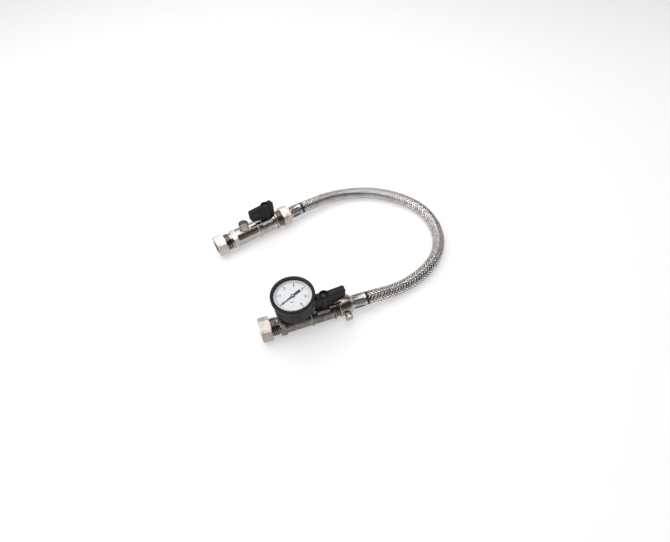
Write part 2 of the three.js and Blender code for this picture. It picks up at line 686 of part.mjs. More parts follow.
function cartridgePoppet(start) {
  const face = start + CARTRIDGE_SEAT + GAP;
  const nose = face - POPPET_NOSE;
  const back = face + POPPET_THICKNESS;
  const end = start + CARTRIDGE_LENGTH + POPPET_STEM_SHOWN;
  return turned([
    [nose, 0], [nose, SEAT_HOLE - POPPET_NOSE], [face, SEAT_HOLE - GAP], [face, POPPET_RADIUS],
    [back, POPPET_RADIUS], [back, POPPET_STEM], [end, POPPET_STEM], [end, 0],
  ], SMALL_ROUND);
}

function cartridgeSpring(start) {
  const first = start + CARTRIDGE_SEAT + GAP + POPPET_THICKNESS + SPRING_WIRE + GAP;
  const last = start + CARTRIDGE_LENGTH - CARTRIDGE_END - SPRING_WIRE - GAP;
  const steps = SPRING_TURNS * TINY_ROUND;
  const coil = Array.from({ length: steps + 1 }, (_, i) => {
    const angle = (i / steps) * SPRING_TURNS * 2 * Math.PI;
    const x = first + ((last - first) * i) / steps;
    return new THREE.Vector3(x, SPRING_RADIUS * Math.cos(angle), SPRING_RADIUS * Math.sin(angle));
  });
  const wire = section(SPRING_WIRE, 4);
  return solid(new THREE.ExtrudeGeometry(wire, {
    steps, bevelEnabled: false, extrudePath: new THREE.CatmullRomCurve3(coil),
  }));
}

// Heights inside the gauge, worked upward from the port
const GAUGE_SHOULDER = portShoulder(GAUGE_PORT);
const CASE_BOTTOM = GAUGE_SHOULDER + GAUGE_FLATS_HEIGHT + GAP;
const CASE_TOP = CASE_BOTTOM + CASE_HEIGHT;
const DIAL_BOTTOM = CASE_TOP - DIAL_DEPTH - DIAL_THICKNESS;
const DIAL_TOP = DIAL_BOTTOM + DIAL_THICKNESS;
const WINDOW_BOTTOM = CASE_TOP + GAP;
const BEZEL_TOP = WINDOW_BOTTOM + WINDOW_THICKNESS + GAP + BEZEL_LIP;
const POINTER_BOTTOM = DIAL_TOP + POINTER_CLEAR;
const NECK_TOP = CASE_BOTTOM + CASE_FLOOR + GAUGE_NECK_INSIDE;
const TUBE_BOTTOM = NECK_TOP + GAP;
const TUBE_ARM_TOP = TUBE_BOTTOM + TUBE_ARM_HEIGHT;
const MOVEMENT_BOTTOM = TUBE_ARM_TOP + GAP;
const MOVEMENT_MIDDLE = MOVEMENT_BOTTOM + MOVEMENT_PLATE + MOVEMENT_SPACE / 2;
const MOVEMENT_TOP = MOVEMENT_BOTTOM + 2 * MOVEMENT_PLATE + MOVEMENT_SPACE;
const SECTOR_PIVOT = SECTOR_RADIUS + PINION_RADIUS + TOOTH_CLEAR;

function gaugeSocket() {
  const start = PORT_HEIGHT - PORT_THREAD_LENGTH;
  const thread = post(start, GAUGE_SHOULDER + LAP, PORT_THREAD);
  const flats = hexPost(GAUGE_SHOULDER, GAUGE_SHOULDER + GAUGE_FLATS_HEIGHT, GAUGE_FLATS);
  const neck = post(GAUGE_SHOULDER + GAUGE_FLATS_HEIGHT - LAP, NECK_TOP, GAUGE_NECK_RADIUS);
  const way = post(start - CUT, NECK_TOP + CUT, GAUGE_WAY, TINY_ROUND);
  return less(joined(thread, flats, neck), way);
}

function gaugeCase() {
  const inner = CASE_RADIUS - CASE_WALL;
  const ledge = DIAL_BOTTOM - GAP;
  const rim = DIAL_RADIUS + GAP;
  const hole = GAUGE_NECK_RADIUS + GAP;
  return turnedUp([
    [CASE_BOTTOM, hole], [CASE_BOTTOM, CASE_RADIUS - CASE_CHAMFER], [CASE_BOTTOM + CASE_CHAMFER, CASE_RADIUS],
    [CASE_TOP, CASE_RADIUS], [CASE_TOP, rim], [ledge, rim], [ledge, inner],
    [CASE_BOTTOM + CASE_FLOOR, inner], [CASE_BOTTOM + CASE_FLOOR, hole],
  ]);
}

// The curved pressure tube stands on an arm that leads from the neck
function pressureTube() {
  const outer = arc(TUBE_BEND_RADIUS + TUBE_THICKNESS / 2, 0, TUBE_SWEEP, BORE_ROUND);
  const inner = arc(TUBE_BEND_RADIUS - TUBE_THICKNESS / 2, TUBE_SWEEP, 0, BORE_ROUND);
  const bend = plate([...outer, ...inner], TUBE_BOTTOM, TUBE_WIDTH);
  const half = TUBE_ARM / 2;
  const arm = block(-half, TUBE_BEND_RADIUS, -half, half, TUBE_BOTTOM, TUBE_ARM_TOP);
  return joined(bend, arm);
}

// Two plates on posts hold the spindle and the sector between them; the sector rests half its turn back
function movementFrame() {
  const left = -SECTOR_PIVOT - MOVEMENT_EDGE;
  const right = 2 * MOVEMENT_EDGE;
  const half = MOVEMENT_WIDTH / 2;
  const inset = 1.5 * MOVEMENT_POST;
  const lower = block(left, right, -half, half, MOVEMENT_BOTTOM, MOVEMENT_BOTTOM + MOVEMENT_PLATE);
  const upper = block(left, right, -half, half, MOVEMENT_TOP - MOVEMENT_PLATE, MOVEMENT_TOP);
  const posts = [-1, 1].map((side) => (
    post(MOVEMENT_BOTTOM, MOVEMENT_TOP, MOVEMENT_POST, TINY_ROUND, right - inset, side * (half - inset))
  ));
  const pivot = SPINDLE_RADIUS + GAP;
  const spindleHole = post(MOVEMENT_BOTTOM - CUT, MOVEMENT_TOP + CUT, pivot, TINY_ROUND);
  const sectorHole = post(MOVEMENT_BOTTOM - CUT, MOVEMENT_TOP + CUT, pivot, TINY_ROUND, -SECTOR_PIVOT);
  return less(joined(lower, upper, ...posts), spindleHole, sectorHole);
}

function sectorGear() {
  const bottom = MOVEMENT_MIDDLE - SECTOR_THICKNESS / 2;
  const fan = [[0, 0], ...arc(SECTOR_RADIUS, -SECTOR_HALF_ANGLE, SECTOR_HALF_ANGLE, 8)];
  const blade = plate(fan, bottom, SECTOR_THICKNESS);
  const halfTail = SECTOR_TAIL_WIDTH / 2;
  const tail = block(-SECTOR_TAIL, LAP, -halfTail, halfTail, bottom, bottom + SECTOR_THICKNESS);
  const pivot = post(MOVEMENT_BOTTOM + PLAY, MOVEMENT_TOP - PLAY, SPINDLE_RADIUS, TINY_ROUND);
  const rest = (-POINTER_SWEEP * PINION_RADIUS) / SECTOR_RADIUS / 2;
  const turnedBack = joined(blade, tail, pivot).rotate([0, 0, THREE.MathUtils.radToDeg(rest)]);
  return turnedBack.translate(-SECTOR_PIVOT, 0, 0);
}

function gaugeSpindle() {
  const pinionBottom = MOVEMENT_MIDDLE - PINION_HEIGHT / 2;
  const pinionTop = MOVEMENT_MIDDLE + PINION_HEIGHT / 2;
  return turnedUp([
    [MOVEMENT_BOTTOM + PLAY, 0], [MOVEMENT_BOTTOM + PLAY, SPINDLE_RADIUS], [pinionBottom, SPINDLE_RADIUS],
    [pinionBottom, PINION_RADIUS], [pinionTop, PINION_RADIUS], [pinionTop, SPINDLE_RADIUS],
    [POINTER_BOTTOM - GAP, SPINDLE_RADIUS], [POINTER_BOTTOM - GAP, 0],
  ], TINY_ROUND);
}

function gaugeDial() {
  const hole = SPINDLE_RADIUS + GAP;
  return turnedUp([
    [DIAL_BOTTOM, hole], [DIAL_BOTTOM, DIAL_RADIUS], [DIAL_TOP, DIAL_RADIUS], [DIAL_TOP, hole],
  ]);
}

function gaugePointer() {
  const edge = [
    [POINTER_TIP, POINTER_POINT], [0, POINTER_WAIST], [-POINTER_HUB, POINTER_WAIST],
    [-POINTER_HUB - POINTER_TAIL_WIDTH / 2, POINTER_TAIL_WIDTH / 2], [-POINTER_TAIL, POINTER_TAIL_WIDTH / 2],
  ];
  const mirrored = edge.map(([x, y]) => [x, -y]).reverse();
  const needle = plate([...edge, ...mirrored], POINTER_BOTTOM, POINTER_THICKNESS);
  const hub = post(POINTER_BOTTOM, WINDOW_BOTTOM - GAP, POINTER_HUB, SMALL_ROUND);
  return joined(needle, hub).rotate([0, 0, THREE.MathUtils.radToDeg(POINTER_ZERO)]);
}

function gaugeWindow() {
  return post(WINDOW_BOTTOM, WINDOW_BOTTOM + WINDOW_THICKNESS, CASE_RADIUS, ROUND);
}

function gaugeBezel() {
  const skirt = BEZEL_TOP - BEZEL_SKIRT - BEZEL_LIP;
  const fit = CASE_RADIUS + GAP;
  const lip = BEZEL_TOP - BEZEL_LIP;
  return turnedUp([
    [skirt, fit], [skirt, BEZEL_RADIUS - BEZEL_EDGE], [skirt + BEZEL_EDGE, BEZEL_RADIUS],
    [BEZEL_TOP - BEZEL_ROUND, BEZEL_RADIUS], [BEZEL_TOP, BEZEL_RADIUS - BEZEL_ROUND],
    [BEZEL_TOP, BEZEL_OPENING + BEZEL_EDGE], [lip, BEZEL_OPENING], [lip, fit],
  ]);
}

// Hose fittings, in the valve's own frame
function tailPiece() {
  const flangeEnd = FLANGE_START + TAIL_FLANGE;
  return turned([
    [FLANGE_START, TAIL_BORE], [FLANGE_START, FLANGE_RADIUS], [flangeEnd, FLANGE_RADIUS],
    [flangeEnd, TAIL_NECK_RADIUS], [FERRULE_END, TAIL_NECK_RADIUS], [FERRULE_END, TAIL_BORE],
  ], BORE_ROUND);
}

function hoseWasher() {
  const start = END_PIECE_END + GAP;
  return tube(start, start + HOSE_WASHER, END_BORE, FLANGE_RADIUS, BORE_ROUND);
}

function hoseNutBore(start) {
  const shoulder = HOSE_NUT_END - HOSE_NUT_LIP;
  return turned([
    [start - CUT, 0], [start - CUT, THREAD_RADIUS + GAP], [shoulder, THREAD_RADIUS + GAP],
    [shoulder, TAIL_NECK_RADIUS + GAP], [HOSE_NUT_END + CUT, TAIL_NECK_RADIUS + GAP], [HOSE_NUT_END + CUT, 0],
  ]);
}

function hexHoseNut() {
  const bar = hexBar(HOSE_NUT_START, HOSE_NUT_END, HOSE_NUT_FLATS, HOSE_NUT_ROLL);
  return less(bar, hoseNutBore(HOSE_NUT_START));
}

// Hand nut: a round collar with two flat ears
function wingHoseNut() {
  const collar = turned([
    [WING_NUT_START, 0], [WING_NUT_START, WING_NUT_RADIUS - WING_NUT_EDGE],
    [WING_NUT_START + WING_NUT_EDGE, WING_NUT_RADIUS],
    [HOSE_NUT_END - CHAMFER, WING_NUT_RADIUS], [HOSE_NUT_END, WING_NUT_RADIUS - CHAMFER], [HOSE_NUT_END, 0],
  ]);
  const middle = (WING_NUT_START + HOSE_NUT_END) / 2;
  const [first, last] = [middle - WING_NUT_EAR_LENGTH / 2, middle + WING_NUT_EAR_LENGTH / 2];
  const half = WING_NUT_EAR_HEIGHT / 2;
  const ears = block(first, last, -WING_NUT_REACH, WING_NUT_REACH, -half, half);
  return less(joined(collar, ears), hoseNutBore(WING_NUT_START));
}

// Crimped ferrule with a row of pressed oblong windows
function ferrule() {
  const eased = FERRULE_RADIUS - FERRULE_EDGE;
  const shell = turned([
    [FERRULE_START, 0], [FERRULE_START, eased], [FERRULE_START + FERRULE_EDGE, FERRULE_RADIUS],
    [FERRULE_END - FERRULE_EDGE, FERRULE_RADIUS], [FERRULE_END, eased], [FERRULE_END, 0],
  ], FERRULE_WINDOWS * 4);
  const bore = rod(FERRULE_START - CUT, FERRULE_END + CUT, TAIL_NECK_RADIUS + GAP, BORE_ROUND);
  const half = WINDOW_WIDTH / 2;
  const straight = WINDOW_LENGTH / 2 - half;
  const outline = [
    ...arc(half, -Math.PI / 2, Math.PI / 2, 4).map(([x, y]) => [x + straight, y]),
    ...arc(half, Math.PI / 2, (3 * Math.PI) / 2, 4).map(([x, y]) => [x - straight, y]),
  ];
  const depth = FERRULE_RADIUS - WINDOW_DEPTH;
  const middle = (FERRULE_START + FERRULE_END) / 2;
  const windows = Array.from({ length: FERRULE_WINDOWS }, (_, i) => {
    const pocket = plate(outline, depth, WINDOW_DEPTH + CUT).translate(middle, 0, 0);
    return pocket.rotate([(360 / FERRULE_WINDOWS) * (i + 0.5), 0, 0]);
  });
  return less(shell, bore, ...windows);
}

// Turns what rides on the stem about the stem's axis
function aboutStem(group, degrees) {
  const angle = THREE.MathUtils.degToRad(degrees);
  group.position.set(STEM_X * (1 - Math.cos(angle)), -STEM_X * Math.sin(angle), 0);
  group.rotation.z = angle;
  return group;
}

// What both valves share; lever is 1 when the long wing points to the hose and -1 the other way,
// and turn is how far the lever stands from the line of the flow
function valve(prefix, lever, port, turn) {
  const group = new THREE.Group();
  group.add(
    piece(`${prefix}_compression_nut`, compressionNut(), NICKEL),
    piece(`${prefix}_olive`, olive(), BRASS),
    piece(`${prefix}_housing`, checkHousing(port), NICKEL),
    piece(`${prefix}_ball_body`, ballBody(), NICKEL),
    piece(`${prefix}_ball_seat_1`, ballSeat(-1), WHITE_PLASTIC),
    piece(`${prefix}_ball_seat_2`, ballSeat(1), WHITE_PLASTIC),
    piece(`${prefix}_end_piece`, endPiece(), NICKEL),
    piece(`${prefix}_port_washer`, portWasher(port), FIBRE),
  );
  const knob = new THREE.Group();
  knob.add(
    piece(`${prefix}_handle`, handle(), BLACK_PLASTIC),
    piece(`${prefix}_handle_screw`, handleScrew(), STEEL),
  );
  knob.position.x = STEM_X;
  knob.rotation.z = lever > 0 ? 0 : Math.PI;
  const turning = new THREE.Group();
  turning.add(
    piece(`${prefix}_ball`, ball(), STEEL),
    piece(`${prefix}_stem`, stem(), BRASS),
    piece(`${prefix}_stem_seal`, stemSeal(), RUBBER),
    knob,
  );
  group.add(aboutStem(turning, turn));
  return group;
}

// The crimped hose end that is screwed on to a valve
function hoseEnd(prefix, nut) {
  const group = new THREE.Group();
  group.add(
    nut,
    piece(`${prefix}_hose_washer`, hoseWasher(), RUBBER),
    piece(`${prefix}_hose_tail`, tailPiece(), BRASS),
    piece(`${prefix}_ferrule`, ferrule(), STEEL),
  );
  return group;
}

function checkCartridge(number, start) {
  const group = new THREE.Group();
  group.add(
    piece(`mains_check_seat_${number}`, cartridgeSeat(start), PALE_PLASTIC),
    piece(`mains_check_cage_${number}`, cartridgeCage(start), PALE_PLASTIC),
    piece(`mains_check_poppet_${number}`, cartridgePoppet(start), PALE_PLASTIC),
    piece(`mains_check_spring_${number}`, cartridgeSpring(start), STEEL),
  );
  return group;
}

function gauge() {
  const group = new THREE.Group();
  group.add(
    piece('gauge_socket', gaugeSocket(), BRASS),
    piece('gauge_case', gaugeCase(), CASE_PLASTIC),
    piece('gauge_pressure_tube', pressureTube(), BRASS),
    piece('gauge_movement', movementFrame(), BRASS),
    piece('gauge_sector', sectorGear(), BRASS),
    piece('gauge_spindle', gaugeSpindle(), BRASS),
    piece('gauge_dial', gaugeDial(), WHITE_PLASTIC),
    piece('gauge_pointer', gaugePointer(), BLACK_PLASTIC),
    piece('gauge_window', gaugeWindow(), CLEAR),
    piece('gauge_bezel', gaugeBezel(), BLACK_PLASTIC),
  );
  group.position.x = PORT_X;
  return group;
}

// The hose is one tube along its route; its ends meet the ferrules face to face
function hose() {
  const points = HOSE_ROUTE.map((point) => new THREE.Vector3(...point));
  const route = new THREE.CatmullRomCurve3(points, false, 'centripetal');
  const outline = section(HOSE_DIAMETER / 2, HOSE_SIDES);
  const steps = Math.round(route.getLength() / (HOSE_STEP * HOSE_DIAMETER));
  return solid(new THREE.ExtrudeGeometry(outline, { steps, bevelEnabled: false, extrudePath: route }));
}

function placed(group, [x, y], heading) {
  group.position.set(x, y, AXIS_HEIGHT);
  group.rotation.z = heading;
  return group;
}

const firstCartridge = CHAMBER_START + GAP;
const secondCartridge = PORT_X + PORT_HOLE + CARTRIDGE_FROM_PORT;

const mains = new THREE.Group();
mains.add(
  valve('mains', -1, TEST_PORT, MAINS_LEVER_TURN),
  piece('mains_test_plug', testPlug(), NICKEL),
  checkCartridge(1, firstCartridge),
  checkCartridge(2, secondCartridge),
  hoseEnd('mains', piece('mains_hose_nut', hexHoseNut(), NICKEL)),
);

const heating = new THREE.Group();
heating.add(
  valve('heating', 1, GAUGE_PORT, 0),
  gauge(),
  hoseEnd('heating', piece('heating_wing_nut', wingHoseNut(), NICKEL)),
);

const fillingLoop = new THREE.Group();
fillingLoop.add(
  placed(mains, MAINS_PLACE, MAINS_HEADING),
  placed(heating, HEATING_PLACE, 0),
  piece('hose', hose(), BRAID),
);

export default fillingLoop;
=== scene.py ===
import copy
import json
import math

import bmesh
import bpy
import numpy as np
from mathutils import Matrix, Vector


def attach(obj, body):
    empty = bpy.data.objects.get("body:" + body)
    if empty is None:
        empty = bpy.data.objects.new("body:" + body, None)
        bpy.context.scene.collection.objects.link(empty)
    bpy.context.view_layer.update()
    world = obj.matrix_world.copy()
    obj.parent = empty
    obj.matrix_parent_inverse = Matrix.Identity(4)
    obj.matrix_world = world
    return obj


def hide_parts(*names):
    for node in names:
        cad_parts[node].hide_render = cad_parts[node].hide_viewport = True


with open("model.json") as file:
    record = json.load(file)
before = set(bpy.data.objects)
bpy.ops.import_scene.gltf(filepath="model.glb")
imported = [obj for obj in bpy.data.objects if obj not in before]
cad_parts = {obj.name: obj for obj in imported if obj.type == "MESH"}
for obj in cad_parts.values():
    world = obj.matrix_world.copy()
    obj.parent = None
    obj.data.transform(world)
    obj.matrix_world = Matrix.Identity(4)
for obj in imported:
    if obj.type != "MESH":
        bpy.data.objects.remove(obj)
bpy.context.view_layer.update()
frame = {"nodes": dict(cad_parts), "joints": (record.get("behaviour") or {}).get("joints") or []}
scene = bpy.context.scene

MM = 0.001
QUARTER_TURN = math.pi / 2
HALF_TURN = math.pi
FULL_TURN = 2 * math.pi

# The view, the floor and the light
CAMERA_PLACE = Vector((-29.9, -291.7, 391.3)) * MM
CAMERA_AIM = Vector((70.5, -14.4, 0)) * MM
CAMERA_LENS = 21.5
FLOOR_SIZE = 12.0
FLOOR_DROP = 0.15 * MM
FLOOR_TONE = 0.62
FLOOR_SPECK = 0.64
FLOOR_LIFT = 0.47
WORLD_LOW = 0.95
WORLD_HIGH = 0.18
WORLD_EDGE = (0.32, 0.46)
WORLD_SIDE = (-0.72, 0.96)
WORLD_DIM = 0.65

# The lamps: name, place, what it points at, size and watts
SOFTBOXES = [
    ("overhead", (-0.10, 0.22, 1.11), (0.07, 0, 0), (1.5, 1.38), 14.0),
    ("left", (-1.05, -0.35, 0.75), (0.05, 0, 0), (0.4, 0.5), 2.2),
    ("right", (1.1, 0.1, 0.75), (0.07, 0, 0), (0.35, 0.8), 0.8),
]

# How fine the round surfaces are
ROUND = 96
FINE = 48
COARSE = 24
POLE = 0.001 * MM
WELD = 0.005 * MM
SMOOTH_ANGLE = math.radians(32)
BRAID_SMOOTH_ANGLE = math.radians(50)

# Clearances and small edges
GAP = 0.3 * MM
CUT = 1.0 * MM
EDGE = 0.25 * MM

# The valves' common sizes, along the valve
NUT_FLATS = 24 * MM
NUT_LENGTH = 11.8 * MM
NUT_LIP = 2.2 * MM
NUT_CHAMFER = 1.2 * MM
NUT_TURN = math.radians(20)
HEX_FACE_EDGE = 0.2 * MM
SOCKET_RADIUS = 7.7 * MM
OLIVE_START = 2.6 * MM
OLIVE_LENGTH = 5.4 * MM
OLIVE_SLOPE = 2.2 * MM
OLIVE_HEIGHT = 1.3 * MM
THREAD_RADIUS = 10.3 * MM
THREAD_PITCH = 1.8 * MM
THREAD_DEPTH = 1.0 * MM
THREAD_ROOT = THREAD_RADIUS - THREAD_DEPTH + 0.05 * MM
THREAD_CREST = 0.22
HOUSING_START = 5.5 * MM
COLLAR_START = 20.5 * MM
COLLAR_END = 27.5 * MM
COLLAR_FLATS = 22 * MM
SOCKET_END = 21 * MM
CHAMBER_START = 24 * MM
CHAMBER_RADIUS = 7.2 * MM
WATERWAY_RADIUS = 6 * MM
BODY_RADIUS = 11 * MM
BAND_START = 55.6 * MM
BAND_END = 57.6 * MM
BAND_RADIUS = 12 * MM
SPIGOT_RADIUS = 9.3 * MM
PORT_X = 40 * MM
PORT_RADIUS = 6.2 * MM
PORT_HEIGHT = 16.5 * MM
PORT_THREAD = 4.4 * MM
PORT_FLOOR = 9.2 * MM
TEST_PORT_RADIUS = 5.2 * MM
TEST_PORT_HEIGHT = 14.2 * MM
TEST_THREAD = 2.9 * MM
TEST_PORT_FLOOR = 8.9 * MM
PORT_FOOT = [(0, 1.2), (9.6, 1.2), (10.4, 0.6), (11.4, 0.2), (12.6, 0)]
PORT_WASHER = 1 * MM
BALL_BODY_START = 57.9 * MM
BALL_BODY_END = 80.8 * MM
BALL_CHAMBER = 9 * MM
STEM_X = 72.1 * MM
STEM_WAY = 3.3 * MM
SPIGOT_REACH = 7.32 * MM
PAD_START = 62.1 * MM
PAD_END = 76.6 * MM
PAD_WIDTH = 15.2 * MM
PAD_HEIGHT = 12.6 * MM
STOP_NEAR = 4.1 * MM
STOP_SIZE = 3.1 * MM
STOP_HEIGHT = 3.8 * MM
END_BAND_START = 81.1 * MM
END_BAND_END = 83.1 * MM
END_PIECE_END = 96.4 * MM
END_BORE = 6.5 * MM
HOSE_NUT_START = 90.5 * MM
HOSE_NUT_END = 102.4 * MM
HOSE_NUT_LIP = 2.1 * MM
HOSE_NUT_FLATS = 23.5 * MM
HOSE_NUT_TURN = math.radians(26)
NECK_RADIUS = 6 * MM
WING_NUT_START = 88 * MM
WING_NUT_RADIUS = 11.6 * MM
WING_REACH = 19 * MM
WING_LENGTH = 7.5 * MM
WING_HEIGHT = 6.5 * MM

# Crimped ferrules
FERRULE_START = 102.7 * MM
FERRULE_END = 120.3 * MM
FERRULE_RADIUS = 8.3 * MM
FERRULE_WAIST = FERRULE_RADIUS - 0.35 * MM
FERRULE_ROLL = 0.8 * MM
FERRULE_MIDDLE = (FERRULE_START + FERRULE_END) / 2 - 0.15 * MM
FERRULE_WINDOWS = 6
WINDOW_LENGTH = 12.5 * MM
WINDOW_WIDTH = 4.6 * MM
WINDOW_DEPTH = 0.8 * MM
# How far the painted highlight on each window's rim and the painted shade line lie outside a window, in
# millimetres
CRIMP_HIGHLIGHT_AT = 0.3
CRIMP_SHADE_LINE_AT = 1.05

# Plug in the mains valve's test port
PLUG_RADIUS = 6.1 * MM
PLUG_HEIGHT = 3 * MM
PLUG_SLOT_WIDTH = 1.4 * MM
PLUG_SLOT_DEPTH = 1.3 * MM

# Lever handle, measured from the stem's axis
HANDLE_BOTTOM = 12.95 * MM
HANDLE_TOP = 32.95 * MM
HANDLE_TIP_TOP = 34.75 * MM
HANDLE_TIP_BOTTOM = 21.15 * MM
HANDLE_HALF = 3.75 * MM
HUB_RADIUS = 5.5 * MM
LONG_WING = 23.2 * MM
SHORT_WING = 10.5 * MM
RECESS_RADIUS = 3.9 * MM
RECESS_DEPTH = 2.6 * MM
SCREW_HOLE = 1.8 * MM
SCREW_RADIUS = 3.1 * MM
STEM_SQUARE = 2.5 * MM
STEM_TOP = 21.8 * MM
MAINS_LEVER_TURN = math.radians(10)

# Gauge, heights above the valve's axis
FLATS_TOP = 26.6 * MM
GAUGE_FLATS = 14 * MM
CASE_BOTTOM = 26.9 * MM
CASE_TOP = 47.5 * MM
CASE_RADIUS = 20.5 * MM
CASE_WALL = 1.6 * MM
CASE_FLOOR = 1.8 * MM
CASE_ROUND = 2.2 * MM
CASE_HOLE = 4.3 * MM
DIAL_BOTTOM = 45.6 * MM
DIAL_TOP = 46.4 * MM
DIAL_RADIUS = 19.5 * MM
GLASS_BOTTOM = 47.8 * MM
GLASS_TOP = 48.8 * MM
BEZEL_BOTTOM = 45.4 * MM
BEZEL_TOP = 49.9 * MM
BEZEL_RADIUS = 22.5 * MM
BEZEL_OPENING = 19.2 * MM
BEZEL_LIP = 0.8 * MM
POINTER_BOTTOM = 46.7 * MM
POINTER_THICKNESS = 0.4 * MM
POINTER_TIP = 16 * MM
POINTER_TAIL = 9.8 * MM
POINTER_HUB = 2.1 * MM
POINTER_ANGLE = math.radians(205)

# The dial's print: a plain scale from 0 to 6
SCALE_UP = math.radians(70)
SCALE_FIRST = POINTER_ANGLE
SCALE_SWEEP = math.radians(-270)
SCALE_TOP_NUMBER = 6
SCALE_PARTS = 5
SCALE_RADIUS = 16.8 * MM
TICK_LONG = 2.3 * MM
TICK_SHORT = 1.2 * MM
TICK_WIDE = 0.62 * MM
TICK_THIN = 0.30 * MM
HIGH_SHARE = 5 / 6
HIGH_BAND = (SCALE_RADIUS + 0.6 * MM, SCALE_RADIUS + 1.5 * MM)
SCALE_LINE = 0.25 * MM
PRINT_HEIGHT = 0.04 * MM
NUMBER_SIZE = 4.2 * MM
NUMBER_RADIUS = 12.6 * MM
UNIT_SIZE = 2.6 * MM
UNIT_RADIUS = 7.2 * MM
LETTER_BOLD = 0.022
LETTER_STEPS = 4

# Hose
CARRIERS = 12
BRAID_PITCH = 46 * MM
STRAND_WIDTH = 1.95 * MM
STRAND_RADIUS = 7.18 * MM
STRAND_LIFT = 0.22 * MM
STRAND_SHAPE = [(0, -0.15 * MM), (0, 0), (0.275, 0.304 * MM), (0.725, 0.304 * MM), (1, 0), (1, -0.15 * MM)]
BRAID_SHADE = 5 * MM
STRAND_WIRES = 9
STEPS_PER_CROSSING = 2.5
CORE_RADIUS = 6.85 * MM
CORE_EVERY = 5
SPAN_STEPS = 40
TONE_STRIDE = 7

# The hose's centre line, from the mains valve's ferrule to the heating valve's, in millimetres
HOSE_ROUTE = [
    (58.74, 90.27, 13.65),
    (65.5, 91.9, 13.6),
    (80.2, 95.4, 13),
    (95.9, 99.3, 11.6),
    (114.2, 101.4, 9.6),
    (132.1, 100.8, 8.2),
    (149.8, 96.8, 7.85),
    (164.6, 90.8, 7.85),
    (177.2, 83, 7.85),
    (190, 72.7, 7.85),
    (200.6, 61, 7.85),
    (210.2, 46.2, 7.85),
    (216, 28.6, 7.85),
    (216.6, 8.1, 7.85),
    (211.7, -12.5, 7.85),
    (202.5, -29.4, 7.85),
    (189.3, -43.7, 7.85),
    (171.8, -55.3, 7.85),
    (154.2, -62.9, 7.85),
    (136.3, -67.6, 8.2),
    (119.7, -70.3, 9.8),
    (104.7, -71.5, 12.2),
    (93.3, -71.9, 13.5),
    (85.75, -71.9, 13.65),
]


class Valve:
    """A valve: where its pipe end lies, its heading, the way its long wing points and its port."""

    def __init__(self, prefix, lever, port):
        self.prefix = prefix
        self.lever = lever
        self.port_radius, self.port_height, self.port_thread, self.port_floor = port
        self.port_shoulder = self.port_height + PORT_WASHER + 2 * GAP
        joint = next(j for j in frame["joints"] if j["name"] == f"{prefix}_handle_turn")
        stem = Vector(joint["pos_m"])
        slide = [j for j in frame["joints"] if j["child"].startswith(f"{prefix}_poppet")]
        along = Vector(slide[0]["axis"]) if slide else Vector((1, 0, 0))
        self.heading = math.atan2(along.y, along.x)
        self.origin = stem - along * STEM_X


# Camera, floor and light
def add_camera():
    data = bpy.data.cameras.new("camera")
    data.lens = CAMERA_LENS
    camera = bpy.data.objects.new("camera", data)
    camera.location = CAMERA_PLACE
    camera.rotation_euler = (CAMERA_AIM - CAMERA_PLACE).to_track_quat("-Z", "Y").to_euler()
    scene.collection.objects.link(camera)
    scene.camera = camera


def add_softbox(name, place, aim, size, power):
    data = bpy.data.lights.new(name, "AREA")
    data.shape = "RECTANGLE"
    data.size, data.size_y = size
    data.energy = power
    lamp = bpy.data.objects.new(name, data)
    lamp.location = place
    lamp.rotation_euler = (Vector(aim) - Vector(place)).to_track_quat("-Z", "Y").to_euler()
    scene.collection.objects.link(lamp)


# Node trees
def maths(operation, swapped=False):
    """A method that adds the Math node of an operation on a value and what follows it."""
    def method(*values):
        return values[0].finish.math(operation, *(values[::-1] if swapped else values))
    return method


class Value:
    """A shader socket that Python's operators work on, each adding its Math node."""

    __add__ = maths("ADD")
    __radd__ = maths("ADD", swapped=True)
    __sub__ = maths("SUBTRACT")
    __rsub__ = maths("SUBTRACT", swapped=True)
    __mul__ = maths("MULTIPLY")
    __rmul__ = maths("MULTIPLY", swapped=True)
    __truediv__ = maths("DIVIDE")
    __pow__ = maths("POWER")
    __abs__ = maths("ABSOLUTE")
    sine = maths("SINE")
    floor = maths("FLOOR")
    fraction = maths("FRACT")
    larger = maths("MAXIMUM")
    bearing = maths("ARCTAN2")

    def __init__(self, finish, socket):
        self.finish = finish
        self.socket = socket

    def held(self):
        """The value kept between 0 and 1."""
        return self.finish.add("ShaderNodeClamp", {}, {"Value": self})


